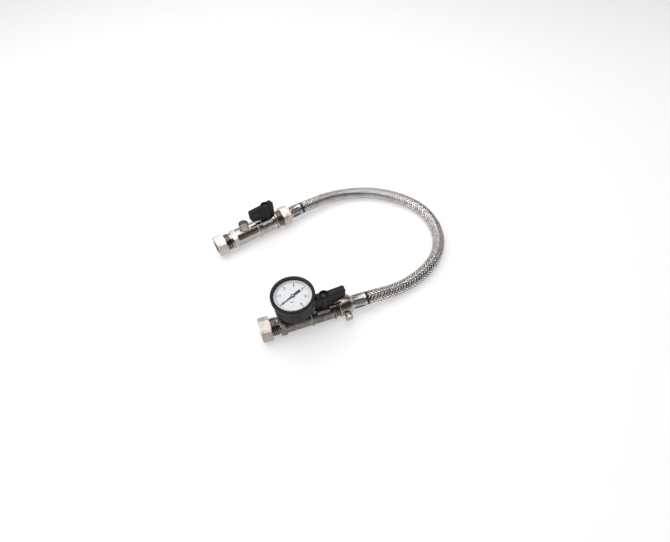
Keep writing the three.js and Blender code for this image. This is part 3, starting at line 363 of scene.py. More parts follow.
class Finish:
    """A node tree under construction, of a material or of the world."""

    def __init__(self, owner):
        owner.use_nodes = True
        self.owner = owner
        self.nodes = owner.node_tree.nodes
        self.links = owner.node_tree.links

    def add(self, kind, settings=None, sockets=None, output=0):
        node = self.nodes.new(kind)
        for key, value in (settings or {}).items():
            if key == "stops":
                self.set_stops(node.color_ramp, value)
            else:
                setattr(node, key, value)
        for key, value in (sockets or {}).items():
            self.feed(node.inputs[key], value)
        return Value(self, node.outputs[output])

    def feed(self, socket, value):
        if isinstance(value, Value):
            self.links.new(value.socket, socket)
        else:
            socket.default_value = value

    def set_stops(self, ramp, stops):
        while len(ramp.elements) < len(stops):
            ramp.elements.new(1.0)
        for element, (place, colour) in zip(ramp.elements, stops):
            element.position = place
            element.color = (*colour, 1)

    def math(self, operation, *values):
        return self.add("ShaderNodeMath", {"operation": operation}, dict(enumerate(values)))

    def mix(self, share, first, second):
        return self.add("ShaderNodeMix", {"data_type": "RGBA"}, {0: share, 6: first, 7: second}, 2)

    def noise(self, place, scale, detail, rough):
        """Noise of a size, with so many octaves of detail, each this rough against the last."""
        sockets = {"Vector": place, "Scale": scale, "Detail": detail, "Roughness": rough}
        return self.add("ShaderNodeTexNoise", {}, sockets)

    def split(self, place):
        node = self.nodes.new("ShaderNodeSeparateXYZ")
        self.feed(node.inputs[0], place)
        return [Value(self, node.outputs[k]) for k in range(3)]

    def joined(self, x=0.0, y=0.0, z=0.0):
        return self.add("ShaderNodeCombineXYZ", {}, {0: x, 1: y, 2: z})

    def where(self, origin=(0, 0, 0), heading=0.0):
        """Object coordinates in millimetres, seen from a valve's own frame."""
        place = self.add("ShaderNodeTexCoord", output=3)
        sockets = {"Vector": place, "Location": origin, "Rotation": (0, 0, heading), "Scale": (MM, MM, MM)}
        return self.add("ShaderNodeMapping", {"vector_type": "TEXTURE"}, sockets)

    def surface(self, **sockets):
        """Sets the main shader's sockets, and returns the material."""
        shader = self.nodes["Principled BSDF"]
        for key, value in sockets.items():
            self.feed(shader.inputs[key.replace("_", " ")], value)
        return self.owner

    def combine(self, kind, sockets):
        """Shows the main shader combined with another one, by a node of this kind."""
        shader = Value(self, self.nodes["Principled BSDF"].outputs[0])
        both = self.add(kind, {}, {**sockets, len(sockets): shader})
        self.feed(self.nodes["Material Output"].inputs["Surface"], both)
        return self.owner

    def relief(self, height, strength, distance):
        sockets = {"Height": height, "Strength": strength, "Distance": distance}
        return self.add("ShaderNodeBump", {}, sockets)


def material(name, valve=None):
    """A finish for a new material, and places in millimetres, in a valve's own frame if it has one."""
    finish = Finish(bpy.data.materials.new(name))
    return finish, finish.where(valve.origin, valve.heading) if valve else finish.where()


def rgb(red, green, blue):
    return (red, green, blue, 1.0)


# Colours: the two extremes of each finish
HEATING_NICKEL = rgb(0.46, 0.42, 0.38), rgb(0.24, 0.20, 0.18)
# The heating valve's barrel colours are painted shade: a darker plate where the gauge above shades it
HEATING_BARREL_PAINTED_SHADE = rgb(0.27, 0.245, 0.225), rgb(0.09, 0.08, 0.07)
MAINS_NICKEL = rgb(0.56, 0.515, 0.485), rgb(0.27, 0.23, 0.21)
THREAD_METAL = rgb(0.012, 0.010, 0.008), rgb(0.46, 0.40, 0.35)
PLUG_METAL = rgb(0.66, 0.62, 0.58), rgb(0.10, 0.085, 0.07)
CRIMP_SHEET = rgb(0.80, 0.78, 0.76), rgb(0.52, 0.49, 0.46)
# Painted light on the ferrules: the next colour is a painted highlight on the window rims, the two after it
# are painted shade round and in the windows
CRIMP_HIGHLIGHT = rgb(0.95, 0.93, 0.90)
CRIMP_SHADE_LINE = rgb(0.018, 0.016, 0.014)
CRIMP_RECESS_SHADE = rgb(0.06, 0.05, 0.044), rgb(0.24, 0.20, 0.175)
# The braid's dark extreme is painted shade; its bright one is the steel
BRAID_SHADE_TO_STEEL = rgb(0.012, 0.010, 0.009), rgb(0.95, 0.91, 0.885)
BRASS = rgb(0.78, 0.60, 0.30), rgb(0.62, 0.45, 0.20)
ZINC = rgb(0.66, 0.66, 0.66), rgb(0.42, 0.42, 0.43)
DARK_STEEL = rgb(0.030, 0.028, 0.026), rgb(0.075, 0.070, 0.066)
CHROME = rgb(0.85, 0.85, 0.85), rgb(0.72, 0.72, 0.73)
FIBRE = rgb(0.40, 0.37, 0.35), rgb(0.28, 0.25, 0.23)
SEAT_WHITE = rgb(0.85, 0.85, 0.83), rgb(0.74, 0.73, 0.70)
CHECK_PALE = rgb(0.80, 0.77, 0.68), rgb(0.66, 0.62, 0.53)
LEVER_BLACK = rgb(0.005, 0.005, 0.005), rgb(0.016, 0.015, 0.015)
CASE_BLACK = rgb(0.008, 0.008, 0.008), rgb(0.021, 0.020, 0.020)
RING_BLACK = rgb(0.003, 0.003, 0.003), rgb(0.007, 0.007, 0.007)
# The dial's second colour is painted shade at its rim
DIAL_WHITE_TO_RIM_SHADE = rgb(0.95, 0.94, 0.945), rgb(0.84, 0.87, 0.90)
SCALE_INK = rgb(0.015, 0.015, 0.017), rgb(0.04, 0.04, 0.045)
RED_INK = rgb(0.62, 0.05, 0.04), rgb(0.50, 0.06, 0.05)
POINTER_PAINT = rgb(0.010, 0.010, 0.011), rgb(0.03, 0.03, 0.03)


# Finishes. Noise scales are per millimetre, and a relief's depth is in millimetres times MM
def plated(name, valve, colours):
    """Nickel plate on brass: fine turning marks round the axis, a faint grit and warm, duller patches."""
    finish, place = material(name, valve)
    along = finish.split(place)[0]
    rings = finish.noise(finish.joined(along * 5.0), 1.0, 4.0, 0.7)
    sand = finish.noise(place, 2.2, 5.0, 0.65)
    patches = finish.noise(place, 0.14, 3.0, 0.55)
    smudge = finish.noise(place, 0.45, 6.0, 0.6)
    dull = ((patches - 0.42) * 3.2).held()
    return finish.surface(
        Base_Color=finish.mix((dull * 0.7 + sand * 0.35).held(), *colours),
        Metallic=1.0,
        Roughness=0.12 + 0.14 * smudge + 0.10 * dull,
        Normal=finish.relief(rings * 0.10 + sand * 0.12 + smudge * 0.7, 0.8, 0.20 * MM),
    )


def dark_thread(name, valve):
    """Plated thread with the grease and shade that sit in its grooves."""
    finish, place = material(name, valve)
    y, z = finish.split(place)[1:]
    reach = (y * y + z * z) ** 0.5
    crest = ((reach - (THREAD_RADIUS / MM - 0.55)) * 1.6).held()
    grime = finish.noise(place, 0.8, 5.0, 0.65)
    return finish.surface(
        Base_Color=finish.mix((crest * 0.85 + grime * 0.25).held(), *THREAD_METAL),
        Metallic=1.0,
        Roughness=0.20 + 0.20 * grime,
        Normal=finish.relief(grime, 0.4, 0.10 * MM),
    )


def plain_metal(name, colours, rough):
    """Turned or drawn metal with fine streaks and a slowly varying tone."""
    finish, place = material(name)
    tone = finish.noise(place, 0.8, 4.0, 0.6)
    fine = finish.noise(place, 6.0, 4.0, 0.6)
    return finish.surface(
        Base_Color=finish.mix(tone, *colours),
        Metallic=1.0,
        Roughness=rough + 0.18 * fine,
        Normal=finish.relief(fine, 0.35, 0.06 * MM),
    )


def plug_steel(valve):
    """Plated plug, its head darker towards the top."""
    finish, place = material("plug_plate", valve)
    z = finish.split(place)[2]
    smudge = finish.noise(place, 0.9, 5.0, 0.6)
    top = (valve.port_shoulder + PLUG_HEIGHT) / MM
    darker_top = ((z - (top - 1.5)) * 2.5).held() * (0.75 + 0.25 * smudge)
    return finish.surface(
        Base_Color=finish.mix(darker_top, *PLUG_METAL),
        Metallic=1.0,
        Roughness=0.14 + 0.22 * smudge,
        Normal=finish.relief(smudge, 0.4, 0.12 * MM),
    )


def crimped_steel(name, valve):
    """Pressed stainless sheet, brushed along the ferrule: a painted highlight on each window's rim, a painted
    shade line round each window and painted shade in its recess.
    """
    finish, place = material(name, valve)
    x, y, z = finish.split(place)
    brushed = finish.noise(finish.joined(x * 0.4, y * 7.0, z * 7.0), 1.0, 4.0, 0.6)
    wear = finish.noise(place, 0.6, 4.0, 0.6)
    # Random mottle within the painted shade of the window recesses
    dust = finish.noise(place, 1.6, 4.0, 0.6)
    waist = FERRULE_WAIST / MM
    reach = (y * y + z * z) ** 0.5
    # Painted shade in each window's recess
    recess_shade = ((waist - WINDOW_DEPTH / MM + 0.35 - reach) * 5.0).held()
    # How far a point is from the outline of the nearest window, outwards
    share = (y.bearing(z) * (FERRULE_WINDOWS / FULL_TURN)).fraction()
    aside = (share - 0.5) * (FULL_TURN / FERRULE_WINDOWS * waist)
    straight = (WINDOW_LENGTH - WINDOW_WIDTH) / 2 / MM
    beyond = (abs(x - FERRULE_MIDDLE / MM) - straight).larger(0.0)
    off = (beyond * beyond + aside * aside) ** 0.5 - WINDOW_WIDTH / 2 / MM
    # Painted highlight along each window's rim, which the relief also raises
    rim = (1.0 - abs(off - CRIMP_HIGHLIGHT_AT) * 2.2).held()
    # Painted shade: a dark line round each window
    outline = ((0.5 - abs(off - CRIMP_SHADE_LINE_AT)) * 5.0).held()
    # All the painted shade, which also makes the sheet less metallic and rougher there
    crimp_painted_shade = (recess_shade + outline).held()
    sheet = finish.mix(rim, finish.mix(wear, *CRIMP_SHEET), CRIMP_HIGHLIGHT)
    sheet = finish.mix(outline, sheet, CRIMP_SHADE_LINE)
    return finish.surface(
        Base_Color=finish.mix(recess_shade, sheet, finish.mix(dust, *CRIMP_RECESS_SHADE)),
        Metallic=1.0 - 0.9 * crimp_painted_shade,
        Roughness=0.14 + 0.20 * wear + 0.40 * crimp_painted_shade,
        Normal=finish.relief(brushed + rim * 0.8, 0.35, 0.10 * MM),
    )


def braid_wire(hose_length):
    """Stainless wires side by side in each strand, with painted shade in the grooves, where a strand dips
    under another, and beside the ferrules.
    """
    finish = Finish(bpy.data.materials.new("braid_wire"))
    across, along = finish.split(finish.add("ShaderNodeUVMap", {"uv_map": "strand"}))[:2]
    tone = finish.add("ShaderNodeAttribute", {"attribute_name": "tone"}, output=2)
    lift = finish.add("ShaderNodeAttribute", {"attribute_name": "lift"}, output=2)
    wire = abs((across * (HALF_TURN * STRAND_WIRES)).sine())
    number = (across * STRAND_WIRES).floor()
    drawn = finish.noise(finish.joined(number * 3.7 + tone * 40.0, along * 180.0), 1.0, 3.0, 0.6)
    # Painted shade between the wires and along each strand's edges
    edge = ((abs(across - 0.5) * 2.0 - 0.62) * 2.9).held()
    groove = (0.35 + 0.65 * wire) * (1.0 - 0.95 * edge)
    # Painted shade on the last few millimetres of braid beside each ferrule
    first = ((BRAID_SHADE - along) / BRAID_SHADE * 1.6).held()
    last = ((along - hose_length + BRAID_SHADE) / BRAID_SHADE * 1.6).held()
    # Painted shade where a strand dips under the strands it crosses
    over = ((lift + 0.45) * 1.5).held()
    clear = (1.0 - 0.9 * (first + last)) * (0.06 + 0.94 * over)
    bright = (groove * (0.52 + 0.50 * drawn + 0.62 * tone) * clear).held()
    return finish.surface(
        Base_Color=finish.mix(bright, *BRAID_SHADE_TO_STEEL),
        Metallic=1.0,
        Roughness=0.15 + 0.14 * drawn,
        Normal=finish.relief(wire, 0.35, 0.08 * MM),
    )


def soft_black(name, tone, rough):
    """Rubber: dull black with a dusty bloom."""
    finish, place = material(name)
    dust = finish.noise(place, 0.6, 5.0, 0.65)
    grain = finish.noise(place, 5.0, 3.0, 0.6)
    return finish.surface(
        Base_Color=finish.mix(dust, rgb(tone, tone, tone), rgb(tone * 2.4, tone * 2.3, tone * 2.2)),
        Roughness=rough + 0.15 * dust,
        Normal=finish.relief(grain, 0.4, 0.10 * MM),
    )


def moulded(name, colours, rough, grain_size, grain_depth, shine):
    """Moulded black plastic: a spark-eroded grain, a few rubbed places and faint flow marks."""
    finish, place = material(name)
    grain = finish.noise(place, grain_size, 2.0, 0.5)
    rubbed = ((finish.noise(place, 0.22, 4.0, 0.6) - 0.48) * 4.0).held()
    flow = finish.noise(place, 0.7, 3.0, 0.5)
    return finish.surface(
        Base_Color=finish.mix((rubbed * 0.5 + flow * 0.4).held(), *colours),
        Roughness=rough + 0.10 * flow - 0.14 * rubbed,
        Normal=finish.relief(grain, 0.5, grain_depth * MM),
        Specular_IOR_Level=shine,
    )


def pale_plastic(name, colours, rough=0.45):
    """Seat rings and cartridges: pale moulded plastic, a little uneven in tone."""
    finish, place = material(name)
    tone = finish.noise(place, 0.5, 4.0, 0.6)
    grain = finish.noise(place, 4.0, 3.0, 0.6)
    return finish.surface(
        Base_Color=finish.mix(tone, *colours),
        Roughness=rough + 0.2 * tone,
        Normal=finish.relief(grain, 0.3, 0.08 * MM),
    )


def dial_enamel(valve):
    """The dial's white enamel, with painted shade, cooler and greyer, towards its rim, and an orange-peel
    surface.
    """
    finish, place = material("dial_enamel", valve)
    x, y = finish.split(place)[:2]
    reach = (((x - PORT_X / MM) ** 2.0) + y * y) ** 0.5
    # Painted shade: the enamel turns cooler and greyer towards the rim
    rim = (reach / (DIAL_RADIUS / MM)).held() ** 2.0
    peel = finish.noise(place, 1.6, 3.0, 0.5)
    cloud = finish.noise(place, 0.25, 3.0, 0.5)
    return finish.surface(
        Base_Color=finish.mix((rim * rim * 0.8 + cloud * 0.15).held(), *DIAL_WHITE_TO_RIM_SHADE),
        Roughness=0.38 + 0.12 * cloud,
        Normal=finish.relief(peel, 0.15, 0.08 * MM),
    )


def print_ink(name, colours):
    """Screen-printed ink, a little uneven in its cover."""
    finish, place = material(name)
    cover = finish.noise(place, 3.0, 3.0, 0.6)
    return finish.surface(Base_Color=finish.mix(cover, *colours), Roughness=0.5 + 0.2 * cover)


def window_glass():
    """Clear window: what lies below shows through it, and it mirrors more at a low angle."""
    finish, place = material("window_glass")
    smear = finish.noise(place, 0.3, 4.0, 0.6)
    finish.surface(
        Base_Color=rgb(0.55, 0.58, 0.60),
        Roughness=0.02 + 0.05 * smear,
        Normal=finish.relief(smear, 0.05, 0.05 * MM),
        Specular_IOR_Level=0.5,
    )
    clear = finish.add("ShaderNodeBsdfTransparent", {}, {"Color": rgb(0.98, 0.985, 0.99)})
    facing = finish.add("ShaderNodeLayerWeight", {}, {"Blend": 0.5}, 1)
    share = (0.03 + 0.9 * facing ** 5.0 + 0.01 * smear).held()
    return finish.combine("ShaderNodeMixShader", {0: share, 1: clear})


def floor_finish():
    """Pale card: it takes the shadow and is lifted to white where the camera or a mirror sees it."""
    finish, place = material("floor_card")
    tooth = finish.noise(place, 0.05, 4.0, 0.6)
    finish.surface(
        Base_Color=finish.mix(tooth, rgb(*(FLOOR_TONE,) * 3), rgb(*(FLOOR_SPECK,) * 3)),
        Roughness=0.9,
        Specular_IOR_Level=0.1,
    )
    path = finish.nodes.new("ShaderNodeLightPath")
    rays = ("Is Camera Ray", "Is Glossy Ray", "Is Transmission Ray")
    seen = sum(Value(finish, path.outputs[ray]) for ray in rays)
    glow = finish.add("ShaderNodeEmission", {}, {"Color": rgb(1, 1, 1), "Strength": FLOOR_LIFT * seen})
    return finish.combine("ShaderNodeAddShader", {0: glow})


def add_world():
    """White at the horizon behind and on the left, darker overhead and in front, for dark bands in metal."""
    scene.world = bpy.data.worlds.new("studio")
    finish = Finish(scene.world)
    x, y, z = finish.split(finish.add("ShaderNodeTexCoord"))
    low, high = (WORLD_LOW,) * 3, (WORLD_HIGH,) * 3
    stops = [(0.0, low), (WORLD_EDGE[0], low), (WORLD_EDGE[1], high), (1.0, high)]
    tone = finish.add("ShaderNodeValToRGB", {"stops": stops}, {"Fac": z.held()})
    side = (x * WORLD_SIDE[0] + y * WORLD_SIDE[1] + 0.5).held()
    tone = finish.mix(side, finish.mix(WORLD_DIM, tone, rgb(0, 0, 0)), tone)
    finish.feed(finish.nodes["Background"].inputs["Color"], tone)


def add_floor():
    floor = begin(bpy.ops.mesh.primitive_plane_add, size=FLOOR_SIZE, location=(0, 0, -FLOOR_DROP))
    floor.name = "floor"
    floor.data.materials.append(floor_finish())


# Modelling
def begin(add, scale=(1, 1, 1), **settings):
    """Adds a primitive with nothing else selected, and applies its place, turn and scale."""
    bpy.ops.object.select_all(action="DESELECT")
    add(**settings)
    bpy.context.object.scale = scale
    bpy.ops.object.transform_apply()
    return bpy.context.object


def choose(piece):
    bpy.ops.object.select_all(action="DESELECT")
    piece.select_set(True)
    bpy.context.view_layer.objects.active = piece


def moved(piece, place=(0, 0, 0), turn=(0, 0, 0)):
    """Turns a piece, then moves it, and applies both to its points."""
    piece.location = place
    piece.rotation_euler = turn
    choose(piece)
    bpy.ops.object.transform_apply()
    return piece


def pick(piece, kind, wanted):
    """In edit mode, selects the edges or points whose middle passes the test."""
    bpy.ops.mesh.select_mode(type=kind)
    bpy.ops.mesh.select_all(action="DESELECT")
    mesh = bmesh.from_edit_mesh(piece.data)
    if kind == "EDGE":
        for edge in mesh.edges:
            edge.select_set(wanted((edge.verts[0].co + edge.verts[1].co) / 2))
    else:
        for point in mesh.verts:
            point.select_set(wanted(point.co))
    mesh.select_flush_mode()
    bmesh.update_edit_mesh(piece.data)


def settle(piece):
    """Welds what coincides, turns the faces outwards and leaves edit mode."""
    bpy.ops.mesh.select_mode(type="VERT")
    bpy.ops.mesh.select_all(action="SELECT")
    bpy.ops.mesh.remove_doubles(threshold=WELD)
    bpy.ops.mesh.normals_make_consistent(inside=False)
    bpy.ops.object.mode_set(mode="OBJECT")
    return piece


def turned(profile, sides=ROUND):
    """A shape turned on x: a ring is extruded along the profile's (along, radius) points."""
    (along, radius), *rest = [(x, max(r, POLE)) for x, r in profile]
    piece = begin(
        bpy.ops.mesh.primitive_circle_add,
        vertices=sides, radius=radius, location=(along, 0, 0), rotation=(0, QUARTER_TURN, 0),
    )
    bpy.ops.object.mode_set(mode="EDIT")
    for x, r in rest:
        bpy.ops.mesh.extrude_region_move(TRANSFORM_OT_translate={"value": (x - along, 0, 0)})
        share = r / radius
        bpy.ops.transform.resize(value=(1, share, share), center_override=(x, 0, 0))
        along, radius = x, r
    return settle(piece)


def turned_up(profile, x=0.0, sides=ROUND):
    """A shape turned on the vertical line at x: the profile's points are (height, radius)."""
    return moved(turned(profile, sides), (x, 0, 0), (0, -QUARTER_TURN, 0))


def rod(bottom, top, radius, x, sides=FINE):
    """An upright round bar."""
    return turned_up([(bottom, 0), (bottom, radius), (top, radius), (top, 0)], x, sides)


def eased_ends(start, end, radius):
    """Profile points of a cylinder whose two rims are eased."""
    return [(start, radius - EDGE), (start + EDGE, radius), (end - EDGE, radius), (end, radius - EDGE)]


def round_corner(centre, radius, first, last, steps=6):
    """Profile points on an arc round a centre (along, radius), angles from the profile's x."""
    angles = [first + (last - first) * k / steps for k in range(steps + 1)]
    return [(centre[0] + radius * math.cos(a), centre[1] + radius * math.sin(a)) for a in angles]


def lofted(sections):
    """A bar along x whose section is a rectangle: each section is (x, half width, bottom, top)."""
    x, half, bottom, top = sections[0]
    bar = begin(
        bpy.ops.mesh.primitive_plane_add, (top - bottom, 2 * half, 1),
        size=1, location=(x, 0, (bottom + top) / 2), rotation=(0, QUARTER_TURN, 0),
    )
    bpy.ops.object.mode_set(mode="EDIT")
    for next_x, next_half, next_bottom, next_top in sections[1:]:
        rise = (next_bottom + next_top - bottom - top) / 2
        bpy.ops.mesh.extrude_region_move(TRANSFORM_OT_translate={"value": (next_x - x, 0, rise)})
        wider = next_half / half
        taller = (next_top - next_bottom) / (top - bottom)
        middle = (next_x, 0, (next_bottom + next_top) / 2)
        bpy.ops.transform.resize(value=(1, wider, taller), center_override=middle)
        x, half, bottom, top = next_x, next_half, next_bottom, next_top
    return settle(bar)


def block(x0, x1, y0, y1, z0, z1, edge=0.0):
    """A cast block, with its edges eased."""
    middle = ((x0 + x1) / 2, (y0 + y1) / 2, (z0 + z1) / 2)
    box = begin(bpy.ops.mesh.primitive_cube_add, (x1 - x0, y1 - y0, z1 - z0), size=1, location=middle)
    return eased(box, edge) if edge else box


def apply(piece, modifier):
    choose(piece)
    bpy.ops.object.modifier_apply(modifier=modifier.name)
    return piece


def eased(piece, width, segments=3, angle=35):
    modifier = piece.modifiers.new("eased", "BEVEL")
    modifier.width = width
    modifier.segments = segments
    modifier.limit_method = "ANGLE"
    modifier.angle_limit = math.radians(angle)
    return apply(piece, modifier)


def fitted(piece, *tools, how="DIFFERENCE"):
    """Cuts the tools out of a piece, joins them to it or keeps what they share."""
    for tool in tools:
        modifier = piece.modifiers.new("fitted", "BOOLEAN")
        modifier.operation = how
        modifier.solver = "EXACT"
        modifier.object = tool
        apply(piece, modifier)
        bpy.data.objects.remove(tool)
    return piece


def together(*pieces):
    """Joins separate bodies into one object, the first."""
    bpy.ops.object.select_all(action="DESELECT")
    for piece in pieces:
        piece.select_set(True)
    bpy.context.view_layer.objects.active = pieces[0]
    bpy.ops.object.join()
    return pieces[0]


def painted(piece, finish):
    piece.data.materials.clear()
    piece.data.materials.append(finish)
    return piece


def laid(piece, valve, name, slot, *nodes, body=None):
    """Lays a finished piece where its valve lies, hangs it on the body it rides on and hides the model's
    parts it stands for.
    """
    moved(piece, valve.origin, (0, 0, valve.heading))
    bpy.ops.object.shade_smooth_by_angle(angle=SMOOTH_ANGLE)
    piece.name = piece.data.name = f"{valve.prefix}_{name}"
    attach(piece, f"{valve.prefix}_{body}" if body else "root")
    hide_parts(*(f"{valve.prefix}_{node}" for node in nodes))


def hex_corner(flats):
    """The radius over the corners of a hexagon, from its width over the flats."""
    return flats / 2 / math.cos(HALF_TURN / 6)


def hex_prism(flats, depth, **settings):
    corner = hex_corner(flats)
    return begin(bpy.ops.mesh.primitive_cylinder_add, vertices=6, radius=corner, depth=depth, **settings)


def hex_bar(start, end, flats, turn):
    """A hexagonal bar along x: long edges eased, both ends turned to a shallow cone."""
    middle = (start + end) / 2
    bar = hex_prism(flats, end - start, location=(middle, 0, 0), rotation=(0, QUARTER_TURN, 0))
    moved(bar, turn=(turn, 0, 0))
    bpy.ops.object.mode_set(mode="EDIT")
    pick(bar, "EDGE", lambda at: abs(at.x - middle) < WELD)
    bpy.ops.mesh.bevel(offset=EDGE, segments=3, affect="EDGES")
    settle(bar)
    face = flats / 2 + HEX_FACE_EDGE
    clear = hex_corner(flats) + 2 * HEX_FACE_EDGE
    cone = turned([
        (start, 0), (start, face - EDGE), (start + EDGE / 2, face), (start + NUT_CHAMFER, clear),
        (end - NUT_CHAMFER, clear), (end - EDGE / 2, face), (end, face - EDGE), (end, 0),
    ])
    return fitted(bar, cone, how="INTERSECT")


def thread(start, end):
    """A helical thread: one tooth's section wound round x, its ends closed."""
    middle = THREAD_RADIUS - THREAD_DEPTH / 2
    tooth = begin(
        bpy.ops.mesh.primitive_plane_add, (THREAD_PITCH, THREAD_DEPTH, 1),
        size=1, location=(start, middle, 0),
    )
    bpy.ops.object.mode_set(mode="EDIT")
    pick(tooth, "VERT", lambda at: at.y > middle)
    bpy.ops.transform.resize(value=(THREAD_CREST, 1, 1), center_override=(start, THREAD_RADIUS, 0))
    bpy.ops.object.mode_set(mode="OBJECT")
    wound = tooth.modifiers.new("wound", "SCREW")
    wound.axis = "X"
    wound.angle = FULL_TURN
    wound.screw_offset = THREAD_PITCH
    wound.iterations = max(1, round((end - start) / THREAD_PITCH) - 1)
    wound.steps = FINE
    wound.render_steps = FINE
    apply(tooth, wound)
    bpy.ops.object.mode_set(mode="EDIT")
    bpy.ops.mesh.select_mode(type="VERT")
    bpy.ops.mesh.select_all(action="SELECT")
    bpy.ops.mesh.remove_doubles(threshold=WELD)
    bpy.ops.mesh.fill_holes(sides=8)
    return settle(tooth)


# Pieces that both valves have
def make_pipe_nut(valve, nickel):
    nut = hex_bar(0, NUT_LENGTH, NUT_FLATS, NUT_TURN)
    entry = SOCKET_RADIUS + 0.1 * MM
    lead_in = 0.5 * MM
    seat = 1.6 * MM
    wide = THREAD_RADIUS + GAP
    bore = turned([
        (-CUT, 0), (-CUT, entry + CUT + lead_in), (0, entry + lead_in), (lead_in, entry), (NUT_LIP, entry),
        (NUT_LIP + seat, SOCKET_RADIUS + OLIVE_HEIGHT + GAP), (HOUSING_START - GAP, wide),
        (NUT_LENGTH + CUT, wide), (NUT_LENGTH + CUT, 0),
    ])
    painted(fitted(nut, bore), nickel)
    laid(nut, valve, "pipe_nut", "nickel_plated_brass", "compression_nut")


def make_olive(valve, brass):
    inner = SOCKET_RADIUS - 0.05 * MM
    crown = inner + OLIVE_HEIGHT
    end = OLIVE_START + OLIVE_LENGTH
    ring = turned([
        (OLIVE_START, inner), (OLIVE_START + OLIVE_SLOPE, crown), (end - OLIVE_SLOPE, crown), (end, inner),
        (OLIVE_START, inner),
    ])
    laid(painted(ring, brass), valve, "olive_ring", "brass", "olive")


def make_check_body(valve, nickel, dark):
    """Check housing: thread, hexagonal collar, barrel with its port, and the first band."""
    core = COLLAR_START + NUT_CHAMFER
    step = 0.4 * MM
    body = turned([
        (HOUSING_START, 0), (HOUSING_START, THREAD_ROOT), (core, THREAD_ROOT), (core, BODY_RADIUS),
        (BAND_START - 0.5 * MM, BODY_RADIUS), (BAND_START, BODY_RADIUS + step),
        *eased_ends(BAND_START, BAND_END, BAND_RADIUS), (BAND_END, SPIGOT_RADIUS),
        (STEM_X - SPIGOT_REACH, SPIGOT_RADIUS), (STEM_X - SPIGOT_REACH, 0),
    ])
    collar = hex_bar(COLLAR_START, COLLAR_END, COLLAR_FLATS, NUT_TURN)
    top = valve.port_height
    radius = valve.port_radius
    port = turned_up([
        (0, 0), *((height * MM, radius + wider * MM) for height, wider in PORT_FOOT),
        (top - step, radius), (top, radius - step), (top, 0),
    ], PORT_X)
    mouth = SOCKET_RADIUS + OLIVE_HEIGHT + 0.5 * MM
    way = turned([
        (HOUSING_START - CUT, 0), (HOUSING_START - CUT, mouth), (HOUSING_START, mouth),
        (HOUSING_START + 2.6 * MM, SOCKET_RADIUS), (SOCKET_END, SOCKET_RADIUS),
        (SOCKET_END, WATERWAY_RADIUS), (CHAMBER_START, WATERWAY_RADIUS),
        (CHAMBER_START, CHAMBER_RADIUS), (STEM_X, CHAMBER_RADIUS), (STEM_X, 0),
    ])
    hole = rod(valve.port_floor, top + CUT, valve.port_thread + GAP, PORT_X)
    fitted(body, collar, port, how="UNION")
    painted(fitted(body, way, hole), nickel)
    ridge = painted(thread(NUT_LENGTH - 3 * THREAD_PITCH, COLLAR_START + step), dark)
    laid(together(body, ridge), valve, "check_body", "nickel_plated_brass", "housing")


def make_ball_body(valve, nickel):
    """Ball section: barrel, flat pad and the post that stops the lever."""
    ends = eased_ends(BALL_BODY_START, BALL_BODY_END, BODY_RADIUS)
    body = turned([(BALL_BODY_START, 0), *ends, (BALL_BODY_END, 0)])
    wide = PAD_WIDTH / 2
    pad = block(PAD_START, PAD_END, -wide, wide, 0, PAD_HEIGHT, 0.6 * MM)
    far = STOP_NEAR + STOP_SIZE
    stop = block(
        STEM_X - far, STEM_X - STOP_NEAR, STOP_NEAR, far,
        PAD_HEIGHT - CUT, PAD_HEIGHT + STOP_HEIGHT, 0.4 * MM,
    )
    socket = SPIGOT_REACH - GAP
    seat = SPIGOT_RADIUS + GAP
    cavity = turned([
        (BALL_BODY_START - CUT, 0), (BALL_BODY_START - CUT, seat), (STEM_X - socket, seat),
        (STEM_X - socket, BALL_CHAMBER), (STEM_X + socket, BALL_CHAMBER), (STEM_X + socket, seat),
        (BALL_BODY_END + CUT, seat), (BALL_BODY_END + CUT, 0),
    ])
    stem_way = rod(0, PAD_HEIGHT + CUT, STEM_WAY, STEM_X)
    fitted(body, pad, stop, how="UNION")
    painted(fitted(body, cavity, stem_way), nickel)
    laid(body, valve, "valve_body", "nickel_plated_brass", "ball_body")


def make_end_piece(valve, nickel, dark):
    inner_end = STEM_X + SPIGOT_REACH
    end = turned([
        (inner_end, END_BORE), (inner_end, SPIGOT_RADIUS), (END_BAND_START, SPIGOT_RADIUS),
        *eased_ends(END_BAND_START, END_BAND_END, BAND_RADIUS), (END_BAND_END, THREAD_ROOT),
        (END_PIECE_END, THREAD_ROOT), (END_PIECE_END, END_BORE), (inner_end, END_BORE),
    ])
    painted(end, nickel)
    ridge = painted(thread(END_BAND_END + 0.5 * MM, END_PIECE_END), dark)
    laid(together(end, ridge), valve, "valve_end", "nickel_plated_brass", "end_piece")


def hose_nut_bore(start):
    shoulder = HOSE_NUT_END - HOSE_NUT_LIP
    neck = NECK_RADIUS + GAP
    return turned([
        (start - CUT, 0), (start - CUT, THREAD_RADIUS + GAP), (shoulder, THREAD_RADIUS + GAP),
        (shoulder, neck), (HOSE_NUT_END + CUT, neck), (HOSE_NUT_END + CUT, 0),
    ])


def make_hex_hose_nut(valve, nickel):
    nut = hex_bar(HOSE_NUT_START, HOSE_NUT_END, HOSE_NUT_FLATS, HOSE_NUT_TURN)
    painted(fitted(nut, hose_nut_bore(HOSE_NUT_START)), nickel)
    laid(nut, valve, "union_nut", "nickel_plated_brass", "hose_nut")


